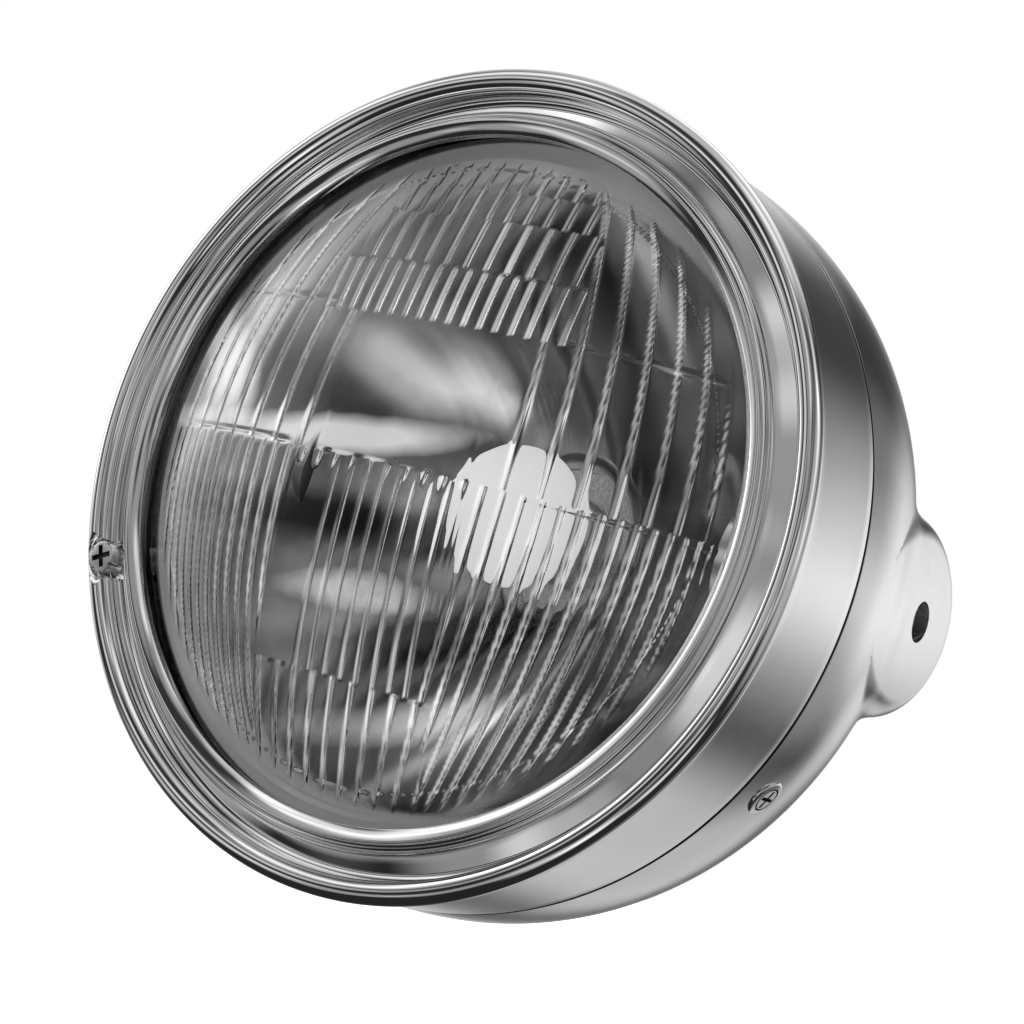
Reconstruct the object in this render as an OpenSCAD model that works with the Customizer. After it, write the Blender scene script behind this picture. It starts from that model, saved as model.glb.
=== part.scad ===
// Round motorcycle headlight: chromed bowl and rim, fluted lens, bulb and aim adjuster.
// Millimetres. The lens looks along -Y, +Z is up, and the side bolts lie on the X axis.
// Depths are counted along the lamp's own axis, backwards from the plane of the rim's outer bead.

/* [Rim] */
// Radius over the rim's outer bead
rim_r = 100; // [84:0.5:118]
// Width of the rim from the lens's opening to the outside of its bead
rim_width = 17; // [16.6:0.1:19]
// Thickness of the rim's sheet
rim_sheet = 1; // [0.8:0.1:1.2]
// Radius of the round outer bead
bead_r = 2.8; // [2.4:0.1:3]
// Radius of the round lip beside the lens
lip_r = 2.1; // [1.8:0.1:2.4]
// How far the bead and the lip stand forward of the bead's widest plane
crest_front = 4; // [3.4:0.1:4.6]
// Depth of the plain band at its inner edge, less than nothing being forward
band_inner_depth = -1.3; // [-1.6:0.1:-0.8]
// Depth of the plain band at its outer edge
band_outer_depth = 0.65; // [0.2:0.05:1]
// How far the skirt's front stands in from the bead
skirt_step = 1.5; // [1.2:0.1:2]
// How much wider the skirt is at its back edge than at its front
skirt_flare = 0.9; // [0.4:0.1:1.4]
// Depth of the seam between the rim and the bowl
seam_depth = 30.3; // [29:0.1:34]
// Width of the seam
seam_gap = 0.7; // [0.4:0.1:1]

/* [Bowl] */
// How far the bowl is wider than the rim
bowl_swell = 0.4; // [0:0.1:3]
// Depth at which the bowl is widest
bowl_wide_depth = 45; // [44:1:50]
// Length of the bowl from its widest place to its back
bowl_back = 78; // [74:1:90]
// Thickness of the bowl's sheet
bowl_sheet = 1.2; // [1:0.1:1.5]
// Gap between the pivots' feet and the bowl's lip inside the rim
lip_gap = 1.3; // [0.6:0.1:3]
// Radius of the wiring hole in the back of the bowl
inlet_r = 17; // [15:0.5:20]
// Radius of the bore through the rubber grommet
grommet_bore_r = 9; // [6:0.5:11]

/* [Side mounts] */
// Distance from the bead's plane back to the bolts' axis
bolt_back = 70; // [66:0.5:76]
// How far each boss's face lies inside the bowl's largest radius
boss_set = 0.4; // [0:0.1:1]
// Radius of each round boss
boss_r = 25; // [22:0.5:27]
// Radius of the rounded edge of each boss
boss_edge_r = 5; // [3:0.5:6]
// How far the boss's face falls away from its middle to its rounded edge
boss_crown = 2.2; // [1:0.1:3]
// Radius of the clear hole in the boss's face
boss_hole_r = 5; // [4.8:0.1:5.5]
// Radius of the tapped bore, the tapping size of an M10 fine thread
tap_r = 4.375; // [3.5:0.125:4.5]
// Length of the tapped bush behind the boss's face
bush_len = 14; // [10:0.5:18]
// Radius of the bush's flange
bush_flange_r = 12; // [10:0.5:14]

/* [Lens] */
// Depth of the glass where the opening's edge stands over it
lens_set = 2; // [1.8:0.1:3]
// Height of the lens's dome over the opening
lens_dome = 18; // [14:0.5:24]
// Thickness of the glass
glass = 3.6; // [3:0.1:4.5]
// How far the glass reaches in under the rim
lens_tuck = 4.6; // [4:0.1:4.8]
// Depth of the lens's back edge
lens_edge_depth = 8.2; // [7.6:0.1:8.8]
// Width of the plain margin round the fluted field
lens_margin = 15; // [11:1:23]
// Height of a flute
flute_h = 0.8; // [0.4:0.1:1.2]
// Width of the flutes above the upper line
upper_pitch = 6.8; // [5:0.1:9]
// Width of the flutes between the upper line and the middle line
middle_pitch = 8.5; // [6:0.1:12]
// Width of the flutes between the middle line and the lower line
lower_pitch = 5.2; // [4.5:0.1:8]
// Width of the flutes under the lower line
foot_pitch = 6; // [4.5:0.1:9]
// Height of the line over the middle field, as a share of the fluted field's radius
upper_share = 0.485; // [0.4:0.01:0.56]
// Height of the line under the middle field, as a share of that radius
middle_share = -0.022; // [-0.09:0.001:0.06]
// Height of the line over the foot field, as a share of that radius
lower_share = -0.75; // [-0.82:0.01:-0.65]

/* [Reflector] */
// Focal length of the reflector
focal_len = 27; // [25:0.5:29]
// Thickness of the reflector's sheet
reflector_sheet = 0.8; // [0.6:0.1:1]
// Radius of the bulb's opening in the reflector
bulb_opening_r = 19; // [18.5:0.1:19.5]
// Radius of the reflector's neck
neck_r = 25; // [24:0.5:27]
// Length of the reflector's neck
neck_len = 9; // [7:0.5:11]
// Thickness of the sealing bead between the lens and the reflector
seal_t = 0.8; // [0.5:0.1:1.2]
// Thickness of the unit ring and of the retaining ring
ring_sheet = 1.2; // [1:0.1:1.4]
// Length of the unit ring's skirt
ring_skirt = 6; // [5.5:0.1:6.5]

/* [Bulb] */
// Radius of the bulb's round glass
bulb_r = 18; // [14:0.5:18]
// Radius of the glass's neck
bulb_neck_r = 9; // [7:0.5:10]
// Length of the bulb's glass in front of its flange
bulb_len = 44; // [40:1:48]
// Radius of the bulb's flange
bulb_flange_r = 21.5; // [20.5:0.1:22]
// Length of the bulb's terminals
terminal_len = 8; // [6:0.5:10]
// Radius of the wire of the bulb's clip
clip_wire_r = 0.7; // [0.5:0.1:0.8]
// Wall of the rubber boot
boot_wall = 2; // [1.5:0.1:3]

/* [Aim adjuster] */
// Angle of the adjuster below the level of the lamp's axis
adjuster_angle = 24.6; // [22:0.1:25]
// Radius of the adjuster's thread
adjuster_r = 2; // [1.6:0.1:2]
// Radius of the adjuster's head
adjuster_head_r = 3.6; // [3.2:0.1:4]
// Height of the adjuster's head
adjuster_head_h = 3.2; // [2.6:0.1:3.6]
// Length of the shoulder between the head and the notch's floor
adjuster_shoulder = 2.4; // [1:0.1:3]
// Radius of the notch round the head
notch_r = 5.6; // [5:0.1:6]
// Depth of the notch's floor
notch_depth = 1.2; // [1:0.1:1.6]
// Radius of the adjuster spring's wire
spring_wire_r = 0.25; // [0.2:0.05:0.3]
// Turns of the adjuster's spring
spring_turns = 6; // [4:1:8]
// Depth of the pivots that the light unit swings on
pivot_depth = 14; // [13.5:0.1:14.5]
// Radius of the pivots
pivot_r = 2; // [1.5:0.1:2.5]

/* [Rim screws] */
// Angle of the rim screws below the level of the lamp's axis
rim_screw_angle = 29.8; // [29.4:0.1:34]
// Depth of the rim screws
rim_screw_depth = 41.5; // [40:0.5:44]
// Radius of the rim screws' thread
rim_screw_r = 2.5; // [2:0.1:2.5]
// Radius of the rim screws' heads
rim_screw_head_r = 4.8; // [4:0.1:5.4]
// Height of the rim screws' heads
rim_screw_head_h = 0.7; // [0.5:0.1:1.2]

/* [Hidden] */

// Fineness of round faces that are turned round the lamp's axis
round_fn = 96;
// A small amount by which a cut runs past a face
past = 1;

// Clearances
slip = 0.3;
turn_clear = 0.1;
nut_clear = 0.2;
thread_clear = 0.05;

// Radii that follow from the rim's
opening_r = rim_r - rim_width;
bowl_r = rim_r + bowl_swell;
boss_face = bowl_r - boss_set;

// Rim: the plain band, and the skirt's radius at any depth
lip_mid_r = opening_r + lip_r;
lip_mid_depth = lip_r - crest_front;
bead_mid_r = rim_r - bead_r;
bead_mid_depth = bead_r - crest_front;
band_inner_r = opening_r + 3 * lip_r;
band_outer_r = rim_r - 2 * bead_r - 0.05;
skirt_front_depth = 1.8;
skirt_end = seam_depth - seam_gap / 2;
function skirt_out(depth) = rim_r - skirt_step
    + skirt_flare * (depth - skirt_front_depth) / (seam_depth - skirt_front_depth);
function skirt_in(depth) = skirt_out(depth) - rim_sheet;

// Lens: the fluted field and the lines between its parts
flute_field_r = opening_r - lens_margin;
upper_line = upper_share * flute_field_r;
middle_line = middle_share * flute_field_r;
lower_line = lower_share * flute_field_r;

// Light unit: radii and depths of the parts that are stacked behind the lens
lens_edge_r = opening_r + lens_tuck;
flange_r = lens_edge_r + 2.4;
ring_r = lens_edge_r + 5.8;
seal_depth = lens_edge_depth + seal_t;
unit_flange_depth = seal_depth + reflector_sheet;
ring_front_depth = seal_depth - ring_sheet;
ring_back_depth = unit_flange_depth + ring_sheet;
lens_out_r = (opening_r * opening_r + lens_dome * lens_dome) / (2 * lens_dome);
lens_mid_depth = lens_set - lens_dome + lens_out_r;
lens_in_r = lens_out_r - glass;
mirror_r = lens_edge_r - glass;
mirror_end_depth = seal_depth + mirror_r * mirror_r / (4 * focal_len);
function mirror_depth(r) = mirror_end_depth - r * r / (4 * focal_len);
seat_r = neck_r - 2;
seat_depth = mirror_depth(seat_r);
base_depth = seat_depth + reflector_sheet;
neck_end = seat_depth + neck_len;

// Small screws through the retaining ring and the unit ring
unit_screw_r = 1.2;
unit_screw_head_r = 1.65;
unit_screw_head_h = 1.2;
unit_screw_out = ring_r - 1.7;

// Bulb: its front, the collar round its glass, and the wires inside it
bulb_front = base_depth - bulb_len;
collar_len = 7;
cap_r = bulb_opening_r - 4;
cap_len = 8;
bulb_wire_r = 0.4;
coil_r = 0.9;
wire_out = 3.4;
wire_end = base_depth - 4;

// Adjuster: its place, its depths, and the window that it needs in the rings
adjuster_out = ring_r + 0.6;
adjuster_at = 180 + adjuster_angle;
spring_front = notch_depth + rim_sheet;
spring_mid_r = adjuster_r + spring_wire_r + 0.2;
adjuster_front = notch_depth - adjuster_shoulder - adjuster_head_h;
nut_w = 5.8;
nut_h = 3.2;
ear_w = 8;
adjuster_end = ring_back_depth + nut_h + 5.8;

// Radius of the pivots' feet
pivot_foot_r = pivot_r + 3;

// Tabs of the rim, on each side of the screws
tab_half_angle = 3;
tab_front = ring_back_depth + 3.8;
tab_back = rim_screw_depth + 8;
tab_out = ring_r + 0.6 + rim_sheet;
hook_angles = [78, 102];
hook_back = skirt_end - 3;
clip_t = 0.8;

// Bowl: its outline from the seam backwards
bowl_front = seam_depth + seam_gap / 2;
function bowl_out(depth) = depth < bowl_wide_depth
    ? bowl_r - (bowl_r - skirt_out(seam_depth))
        * pow((bowl_wide_depth - depth) / (bowl_wide_depth - bowl_front), 2)
    : bowl_r * sqrt(max(0, 1 - pow((depth - bowl_wide_depth) / bowl_back, 2)));
function bowl_end(r, wall) = bowl_wide_depth
    + (bowl_back - wall) * sqrt(1 - pow(r / (bowl_r - wall), 2));

// Points on an arc round a middle, from one angle to another
function arc(mid, r, from, to, steps) =
    [for (i = [0:steps]) let (a = from + (to - from) * i / steps)
        [mid[0] + r * cos(a), mid[1] + r * sin(a)]];

// Turns a section of radius and depth round the lamp's axis
module turned(angle = 360) {
    translate([0, -bolt_back, 0])
        rotate([-90, 0, 0])
            rotate_extrude(angle = angle, $fn = round_fn)
                children();
}

// Puts a thing at a clock angle of the lamp: its X points outwards and its Y backwards
module clocked(angle) {
    rotate([0, -angle, 0])
        translate([0, -bolt_back, 0])
            children();
}

// A rod along the lamp's axis, between two depths
module rod(r, front, back, out = 0) {
    translate([out, front, 0])
        rotate([-90, 0, 0])
            cylinder(r = r, h = back - front, $fn = 48);
}

// A rod pointing outwards, between two distances from the lamp's axis
module spoke(r, from, to, depth) {
    translate([from, depth, 0])
        rotate([0, 90, 0])
            cylinder(r = r, h = to - from, $fn = 48);
}

// A flat ring round the lamp's axis
module washer(r_in, r_out, front, back) {
    turned()
        translate([r_in, front])
            square([r_out - r_in, back - front]);
}

// Two crossed slots, cut into a screw's head along its axis
module cross_slots(r, w, deep) {
    for (turn = [0, 90])
        rotate([0, 0, turn])
            translate([-r, -w / 2, -deep])
                cube([2 * r, w, deep + past]);
}

// Front outline of the rim, from the opening out to the skirt
rim_front = concat(
    [[opening_r, lip_mid_depth + lip_r * 0.5]],
    arc([lip_mid_r, lip_mid_depth], lip_r, 180, 330, 8),
    [[band_inner_r - 1.9, band_inner_depth - 0.1],
     [band_inner_r - 1.2, band_inner_depth - 0.6],
     [band_inner_r - 0.5, band_inner_depth + 0.2],
     [band_inner_r, band_inner_depth],
     [band_outer_r, band_outer_depth]],
    arc([bead_mid_r, bead_mid_depth], bead_r, 155, 405, 14),
    [[rim_r - skirt_step, skirt_front_depth]]);

// Back outline of the rim, from the skirt in to the opening
rim_rear = concat(
    [[skirt_in(skirt_front_depth), skirt_front_depth + 0.4]],
    arc([bead_mid_r, bead_mid_depth], bead_r - rim_sheet, 405, 155, 10),
    [[band_outer_r - 0.1, band_outer_depth + rim_sheet],
     [band_inner_r - 0.2, band_inner_depth + rim_sheet + 0.2],
     [band_inner_r - 1.7, band_inner_depth + rim_sheet]],
    arc([lip_mid_r, lip_mid_depth], lip_r - rim_sheet, 330, 180, 6),
    [[opening_r + rim_sheet, lip_mid_depth + lip_r * 0.5]]);

module rim_shell() {
    turned()
        polygon(concat(rim_front, [[skirt_out(skirt_end), skirt_end], [skirt_in(skirt_end), skirt_end]],
            rim_rear));
}

// Solid that fills the rim up to its front face, for the wall of the notch to be cut from
module rim_filled() {
    turned()
        polygon(concat(rim_front, [[rim_r - skirt_step, spring_front], [opening_r, spring_front]]));
}

// A tab inside the skirt that reaches back into the bowl
module rim_tab(angle, back, half_angle) {
    foot = skirt_in(tab_front) + rim_sheet / 2;
    rotate([0, -half_angle - angle, 0])
        turned(2 * half_angle)
            polygon([[foot, tab_front], [foot, tab_front + 3.4],
                [tab_out, tab_front + 3.4], [tab_out, back],
                [tab_out - rim_sheet, back], [tab_out - rim_sheet, tab_front + 3.4 - rim_sheet],
                [foot - rim_sheet - 0.5, tab_front + 3.4 - rim_sheet], [foot - rim_sheet - 0.5, tab_front]]);
}

module rim() {
    color("gainsboro")
        difference() {
            union() {
                rim_shell();
                intersection() {
                    rim_filled();
                    clocked(adjuster_at)
                        rod(notch_r + rim_sheet, -crest_front - past, spring_front, adjuster_out);
                }
                for (angle = [-rim_screw_angle, 180 + rim_screw_angle])
                    rim_tab(angle, tab_back, tab_half_angle);
                for (angle = hook_angles)
                    rim_tab(angle, hook_back, tab_half_angle);
            }
            clocked(adjuster_at) {
                rod(notch_r, -crest_front - past, notch_depth, adjuster_out);
                rod(adjuster_r + turn_clear, 0, spring_front + past, adjuster_out);
            }
            for (angle = [-rim_screw_angle, 180 + rim_screw_angle])
                clocked(angle)
                    spoke(rim_screw_r + slip, tab_out - 3, tab_out + past, rim_screw_depth);
        }
}

// Outside of the bowl behind the seam, shrunk by a wall
module bowl_body(wall) {
    steps = 30;
    turned()
        polygon(concat([[0, bowl_front]],
            [for (i = [0:6]) let (d = bowl_front + (bowl_wide_depth - bowl_front) * i / 6)
                [bowl_out(d) - wall, d]],
            [for (i = [1:steps]) let (a = 90 * i / steps)
                [(bowl_r - wall) * cos(a), bowl_wide_depth + (bowl_back - wall) * sin(a)]]));
}

// How far a boss's face has fallen away at a radius
function boss_fall(r) = let (flat_r = boss_r - boss_edge_r,
    crown_r = (flat_r * flat_r + boss_crown * boss_crown) / (2 * boss_crown))
    crown_r - sqrt(crown_r * crown_r - r * r);
// Flat seat behind the boss's face: its radius, and its distance from the lamp's axis
seat_out = bush_flange_r + 0.5;
boss_seat = boss_face - bowl_sheet - boss_fall(seat_out);

// A side boss turned round the bolts' axis; inside it is shrunk by the sheet and has a flat seat
module boss(inside) {
    wall = inside ? bowl_sheet : 0;
    top = inside ? boss_seat : boss_face;
    flat_r = boss_r - boss_edge_r;
    edge_x = boss_face - boss_crown - boss_edge_r + 0.15;
    rotate([0, 90, 0])
        rotate_extrude($fn = 96)
            polygon(concat([[0, 0], [boss_r - wall, 0]],
                arc([flat_r, edge_x], boss_edge_r - wall, 0, 76, 8),
                [for (i = [5:-1:1]) let (r = flat_r * i / 6) if (!inside || r > seat_out)
                    [r, boss_face - wall - boss_fall(r)]],
                inside ? [[seat_out, top]] : [],
                [[0, top]]));
}

module bowl_lip() {
    lip_front = pivot_depth + pivot_foot_r + lip_gap;
    outer = skirt_in(lip_front) - slip;
    turned()
        polygon([[outer - bowl_sheet, lip_front], [outer, lip_front],
            [skirt_in(bowl_front) - slip, bowl_front], [skirt_out(seam_depth) - 0.3, bowl_front],
            [skirt_out(seam_depth) - 0.3, bowl_front + bowl_sheet + 0.6],
            [skirt_in(bowl_front) - slip - bowl_sheet + 0.2, bowl_front + bowl_sheet],
            [skirt_in(bowl_front) - slip - bowl_sheet, bowl_front]]);
}

module bowl() {
    color("silver")
        difference() {
            union() {
                difference() {
                    union() {
                        bowl_body(0);
                        for (side = [0, 1])
                            mirror([side, 0, 0])
                                boss(false);
                    }
                    union() {
                        bowl_body(bowl_sheet);
                        for (side = [0, 1])
                            mirror([side, 0, 0])
                                boss(true);
                    }
                }
                bowl_lip();
            }
            rotate([0, 90, 0])
                cylinder(r = boss_hole_r, h = 2 * boss_face + 4, center = true, $fn = 64);
            clocked(0)
                rod(inlet_r, bowl_wide_depth, bowl_wide_depth + bowl_back + past);
            for (angle = [-rim_screw_angle, 180 + rim_screw_angle])
                clocked(angle)
                    spoke(rim_screw_r + slip, bowl_r - 5, bowl_r + 5, rim_screw_depth);
        }
}

// A rod along the bolts' axis, between two distances from the lamp's axis
module spoke_at_bolt(r, from, to) {
    translate([from, 0, 0])
        rotate([0, 90, 0])
            cylinder(r = r, h = to - from, $fn = 64);
}

// A tapped bush welded behind a boss's face
module mount_bush() {
    flange_t = 3;
    color("darkgray")
        difference() {
            union() {
                spoke_at_bolt(bush_flange_r, boss_seat - flange_t, boss_seat);
                spoke_at_bolt(bush_flange_r * 0.7, boss_seat - bush_len, boss_seat);
            }
            spoke_at_bolt(tap_r, boss_seat - bush_len - past, boss_seat + past);
        }
}

module left_mount_bush() {
    mirror([1, 0, 0])
        mount_bush();
}

module right_mount_bush() {
    mount_bush();
}

// Rubber grommet in the wiring hole: a flange on each side of the sheet and a short collar
module rear_grommet() {
    hole_end = bowl_end(inlet_r, 0);
    sheet_front = hole_end - bowl_sheet - 1;
    flange = inlet_r + 4;
    color("dimgray")
        turned()
            polygon(concat(
                [[grommet_bore_r, sheet_front - 2.5], [flange - 0.5, sheet_front - 2.5],
                 [flange - 0.5, sheet_front - 1], [inlet_r - slip, sheet_front - 0.3],
                 [inlet_r - slip, hole_end + 0.5], [flange, hole_end + 0.5]],
                arc([flange - 1.5, hole_end + 1.5], 1.5, 0, 90, 5),
                [[grommet_bore_r + 3, hole_end + 3.2], [grommet_bore_r + 2.4, hole_end + 6.5],
                 [grommet_bore_r, hole_end + 6.5]]));
}

// Screw that holds the rim: it goes through the bowl into the clip nut on the rim's tab
module rim_screw(angle) {
    under_head = bowl_r + 0.05;
    color("lightgray")
        clocked(angle)
            difference() {
                union() {
                    spoke(rim_screw_r, tab_out - 6, under_head, rim_screw_depth);
                    spoke(rim_screw_head_r, under_head, under_head + rim_screw_head_h, rim_screw_depth);
                }
                translate([under_head + rim_screw_head_h, rim_screw_depth, 0])
                    rotate([0, 90, 0])
                        cross_slots(rim_screw_head_r * 0.55, 1, 2.2);
            }
}

module left_rim_screw() {
    rim_screw(180 + rim_screw_angle);
}

module right_rim_screw() {
    rim_screw(-rim_screw_angle);
}

// Spring clip nut that straddles the back of a rim tab
module clip_nut(angle) {
    w = 8;
    gap = 0.2;
    front = rim_screw_depth - 5.5;
    inner = tab_out - rim_sheet - gap - clip_t;
    color("slategray")
        clocked(angle)
            difference() {
                union() {
                    translate([0, 0, -w / 2])
                        linear_extrude(w)
                            polygon([[tab_out + gap, front], [tab_out + gap + clip_t, front],
                                [tab_out + gap + clip_t, tab_back + gap + clip_t],
                                [inner, tab_back + gap + clip_t], [inner, front],
                                [inner + clip_t, front], [inner + clip_t, tab_back + gap],
                                [tab_out + gap, tab_back + gap]]);
                    spoke(rim_screw_r + 1.4, inner - 3, inner + clip_t, rim_screw_depth);
                }
                spoke(rim_screw_r + thread_clear, inner - 4, tab_out + 3, rim_screw_depth);
            }
}

module left_clip_nut() {
    clip_nut(180 + rim_screw_angle);
}

module right_clip_nut() {
    clip_nut(-rim_screw_angle);
}

// Stud inside the rim's skirt that the light unit swings on
module pivot_stud(angle) {
    seat = skirt_in(pivot_depth) - 0.2;
    foot_h = 1.4;
    color("darkgray")
        clocked(angle) {
            spoke(pivot_foot_r, seat - foot_h, seat, pivot_depth);
            spoke(pivot_r + 1.2, ring_r + slip, seat - foot_h / 2, pivot_depth);
            spoke(pivot_r, ring_r - 3, seat - foot_h / 2, pivot_depth);
        }
}

module upper_pivot_stud() {
    pivot_stud(90);
}

module lower_pivot_stud() {
    pivot_stud(-90);
}

// Adjuster screw with a cross slot, a shoulder on the notch's floor and a plain thread
module adjuster_screw() {
    head_back = adjuster_front + adjuster_head_h;
    color("silver")
        clocked(adjuster_at)
            difference() {
                union() {
                    rod(adjuster_head_r, adjuster_front, head_back, adjuster_out);
                    rod(adjuster_r + 0.8, head_back - 0.1, notch_depth, adjuster_out);
                    rod(adjuster_r, head_back, adjuster_end, adjuster_out);
                }
                translate([adjuster_out, adjuster_front, 0])
                    rotate([90, 0, 0])
                        cross_slots(adjuster_head_r * 0.8, 1.1, 1.8);
            }
}

// Coil spring that pushes the light unit's ear away from the rim
module adjuster_spring() {
    rise = (ring_back_depth - ring_sheet - spring_front - 2 * spring_wire_r) / (spring_turns + 1);
    color("darkgray")
        clocked(adjuster_at)
            for (i = [0:spring_turns + 1])
                translate([adjuster_out, spring_front + spring_wire_r + i * rise, 0])
                    rotate([-90, 0, 0])
                        rotate_extrude($fn = 32)
                            translate([spring_mid_r, 0])
                                circle(r = spring_wire_r, $fn = 16);
}

// Nut that is held behind the light unit's ear and runs on the adjuster
module adjuster_nut() {
    color("darkgray")
        clocked(adjuster_at)
            difference() {
                translate([adjuster_out - nut_w / 2, ring_back_depth, -nut_w / 2])
                    cube([nut_w, nut_h, nut_w]);
                rod(adjuster_r + nut_clear, ring_back_depth - past, ring_back_depth + nut_h + past,
                    adjuster_out);
            }
}

// Flutes of one field: ridges that follow the inside of the dome between two heights
module flutes(pitch, low, high) {
    count = floor(flute_field_r / pitch) + 1;
    base = lens_in_r + 0.6;
    span = (count + 0.5) * pitch;
    function inside(x) = sqrt(lens_in_r * lens_in_r - x * x);
    ridge = [for (i = [-count:count]) each [
        [inside((i - 0.5) * pitch) + 0.02 - flute_h * 0.05, (i - 0.5) * pitch],
        [inside((i - 0.25) * pitch) - flute_h * 0.75, (i - 0.25) * pitch],
        [inside(i * pitch) - flute_h, i * pitch],
        [inside((i + 0.25) * pitch) - flute_h * 0.75, (i + 0.25) * pitch]]];
    back = [for (i = [12:-1:-12]) let (x = span * i / 12) [sqrt(base * base - x * x), x]];
    intersection() {
        translate([0, lens_mid_depth - bolt_back, 0])
            rotate([0, 90, 0])
                rotate_extrude($fn = 180)
                    polygon(concat(ridge, back));
        clocked(0)
            rod(flute_field_r, lens_set - lens_dome - past, lens_edge_depth + 4);
        translate([-flute_field_r, lens_set - lens_dome - bolt_back - past, low])
            cube([2 * flute_field_r, lens_dome + glass + 4, high - low]);
    }
}

module lens() {
    color("lightcyan", 0.5)
        union() {
            difference() {
                intersection() {
                    translate([0, lens_mid_depth - bolt_back, 0])
                        sphere(r = lens_out_r, $fn = 180);
                    clocked(0)
                        rod(lens_edge_r, lens_set - lens_dome - past, lens_edge_depth);
                }
                intersection() {
                    translate([0, lens_mid_depth - bolt_back, 0])
                        sphere(r = lens_in_r, $fn = 180);
                    clocked(0)
                        rod(lens_edge_r - glass, lens_set - lens_dome - past, lens_edge_depth + past);
                }
            }
            flutes(upper_pitch, upper_line, flute_field_r);
            flutes(middle_pitch, middle_line, upper_line);
            flutes(lower_pitch, lower_line, middle_line);
            flutes(foot_pitch, -flute_field_r, lower_line);
        }
}

module lens_seal() {
    color("black")
        washer(lens_edge_r - glass + 0.2, lens_edge_r - 0.2, lens_edge_depth, seal_depth);
}

// Dished reflector with a flange in front and a neck for the bulb behind
module reflector() {
    steps = 24;
    radii = [for (i = [0:steps]) mirror_r - (mirror_r - seat_r) * i / steps];
    dish = [for (r = radii) [r, mirror_depth(r)]];
    dish_back = [for (i = [steps:-1:0])
        [radii[i] + reflector_sheet * 0.75, mirror_depth(radii[i]) + reflector_sheet]];
    color("whitesmoke")
        turned()
            polygon(concat([[flange_r, unit_flange_depth], [flange_r, seal_depth]],
                dish,
                [[bulb_opening_r, seat_depth], [bulb_opening_r, base_depth],
                 [neck_r - reflector_sheet, base_depth], [neck_r - reflector_sheet, neck_end],
                 [neck_r, neck_end], [neck_r, mirror_depth(neck_r) + reflector_sheet]],
                [for (p = dish_back) if (p[0] > neck_r + 1 && p[1] > unit_flange_depth + 0.1) p],
                [[mirror_r + reflector_sheet, unit_flange_depth]]));
}

module unit_screw_places() {
    for (angle = [45, 135, 225, 315])
        clocked(angle)
            children();
}

// Window in the rings for the adjuster, its spring and its nut
module adjuster_window() {
    clocked(adjuster_at) {
        rod(spring_mid_r + 1.1, 0, unit_flange_depth, adjuster_out);
        translate([adjuster_out - nut_w / 2 - 0.5, ring_back_depth, -nut_w / 2 - 0.5])
            cube([nut_w, ring_skirt + past, nut_w + 1]);
        rod(adjuster_r + nut_clear, 0, ring_back_depth + past, adjuster_out);
    }
}

// Ring that holds the lens and the reflector down on the unit ring
module retaining_ring() {
    color("silver")
        difference() {
            washer(lens_edge_r + 0.5, ring_r, ring_front_depth, seal_depth);
            adjuster_window();
            unit_screw_places()
                rod(unit_screw_r + slip, 0, ring_back_depth, unit_screw_out);
        }
}

// Ring that carries the light unit: a flange, a skirt with the pivots' holes, and the adjuster's ear
module unit_ring() {
    shoulder_r = flange_r + 0.3;
    color("silver")
        difference() {
            union() {
                turned()
                    polygon([[lens_edge_r - 1.6, unit_flange_depth], [shoulder_r, unit_flange_depth],
                        [shoulder_r, seal_depth], [ring_r, seal_depth],
                        [ring_r, ring_back_depth + ring_skirt],
                        [ring_r - ring_sheet, ring_back_depth + ring_skirt],
                        [ring_r - ring_sheet, ring_back_depth], [lens_edge_r - 1.6, ring_back_depth]]);
                clocked(adjuster_at)
                    translate([ring_r - 2, unit_flange_depth, -ear_w / 2])
                        cube([5.4, ring_sheet, ear_w]);
            }
            adjuster_window();
            for (angle = [90, -90])
                clocked(angle)
                    spoke(pivot_r + turn_clear, ring_r - 4, ring_r + past, pivot_depth);
            unit_screw_places()
                rod(unit_screw_r + thread_clear, 0, ring_back_depth + ring_skirt + past,
                    unit_screw_out);
        }
}

// The four small screws through both rings
module unit_screws() {
    color("lightgray")
        unit_screw_places()
            difference() {
                union() {
                    rod(unit_screw_r, ring_front_depth, ring_back_depth + 1, unit_screw_out);
                    rod(unit_screw_head_r, ring_front_depth - unit_screw_head_h, ring_front_depth,
                        unit_screw_out);
                }
                translate([unit_screw_out, ring_front_depth - unit_screw_head_h, 0])
                    rotate([90, 0, 0])
                        cross_slots(unit_screw_r, 0.5, unit_screw_head_h * 0.6);
            }
}

// Glass of the bulb: a ball that draws in to a neck
module bulb_glass() {
    back = base_depth - 2;
    wall = 1;
    mid = [0, bulb_front + bulb_r];
    color("white", 0.5)
        turned()
            polygon(concat([[bulb_neck_r, back], [bulb_neck_r, back - collar_len]],
                arc(mid, bulb_r, 48, -90, 16),
                arc(mid, bulb_r - wall, -90, 48, 16),
                [[bulb_neck_r - wall, back - collar_len], [bulb_neck_r - wall, back]]));
}

// Metal base of the bulb: collar round the glass, flange with three lugs, and cap behind
module bulb_base() {
    color("silver")
        difference() {
            union() {
                washer(bulb_neck_r + thread_clear, bulb_neck_r + 3, base_depth - collar_len, base_depth);
                clocked(0)
                    rod(bulb_flange_r, base_depth, base_depth + 1);
                clocked(0)
                    rod(cap_r, base_depth + 1, base_depth + 1 + cap_len);
                clocked(0)
                    rod(bulb_neck_r - 1.2, wire_end, base_depth);
            }
            for (angle = [30, 150, 270])
                clocked(angle)
                    rod(3, base_depth - past, base_depth + 1, bulb_flange_r + 1);
        }
}

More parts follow.
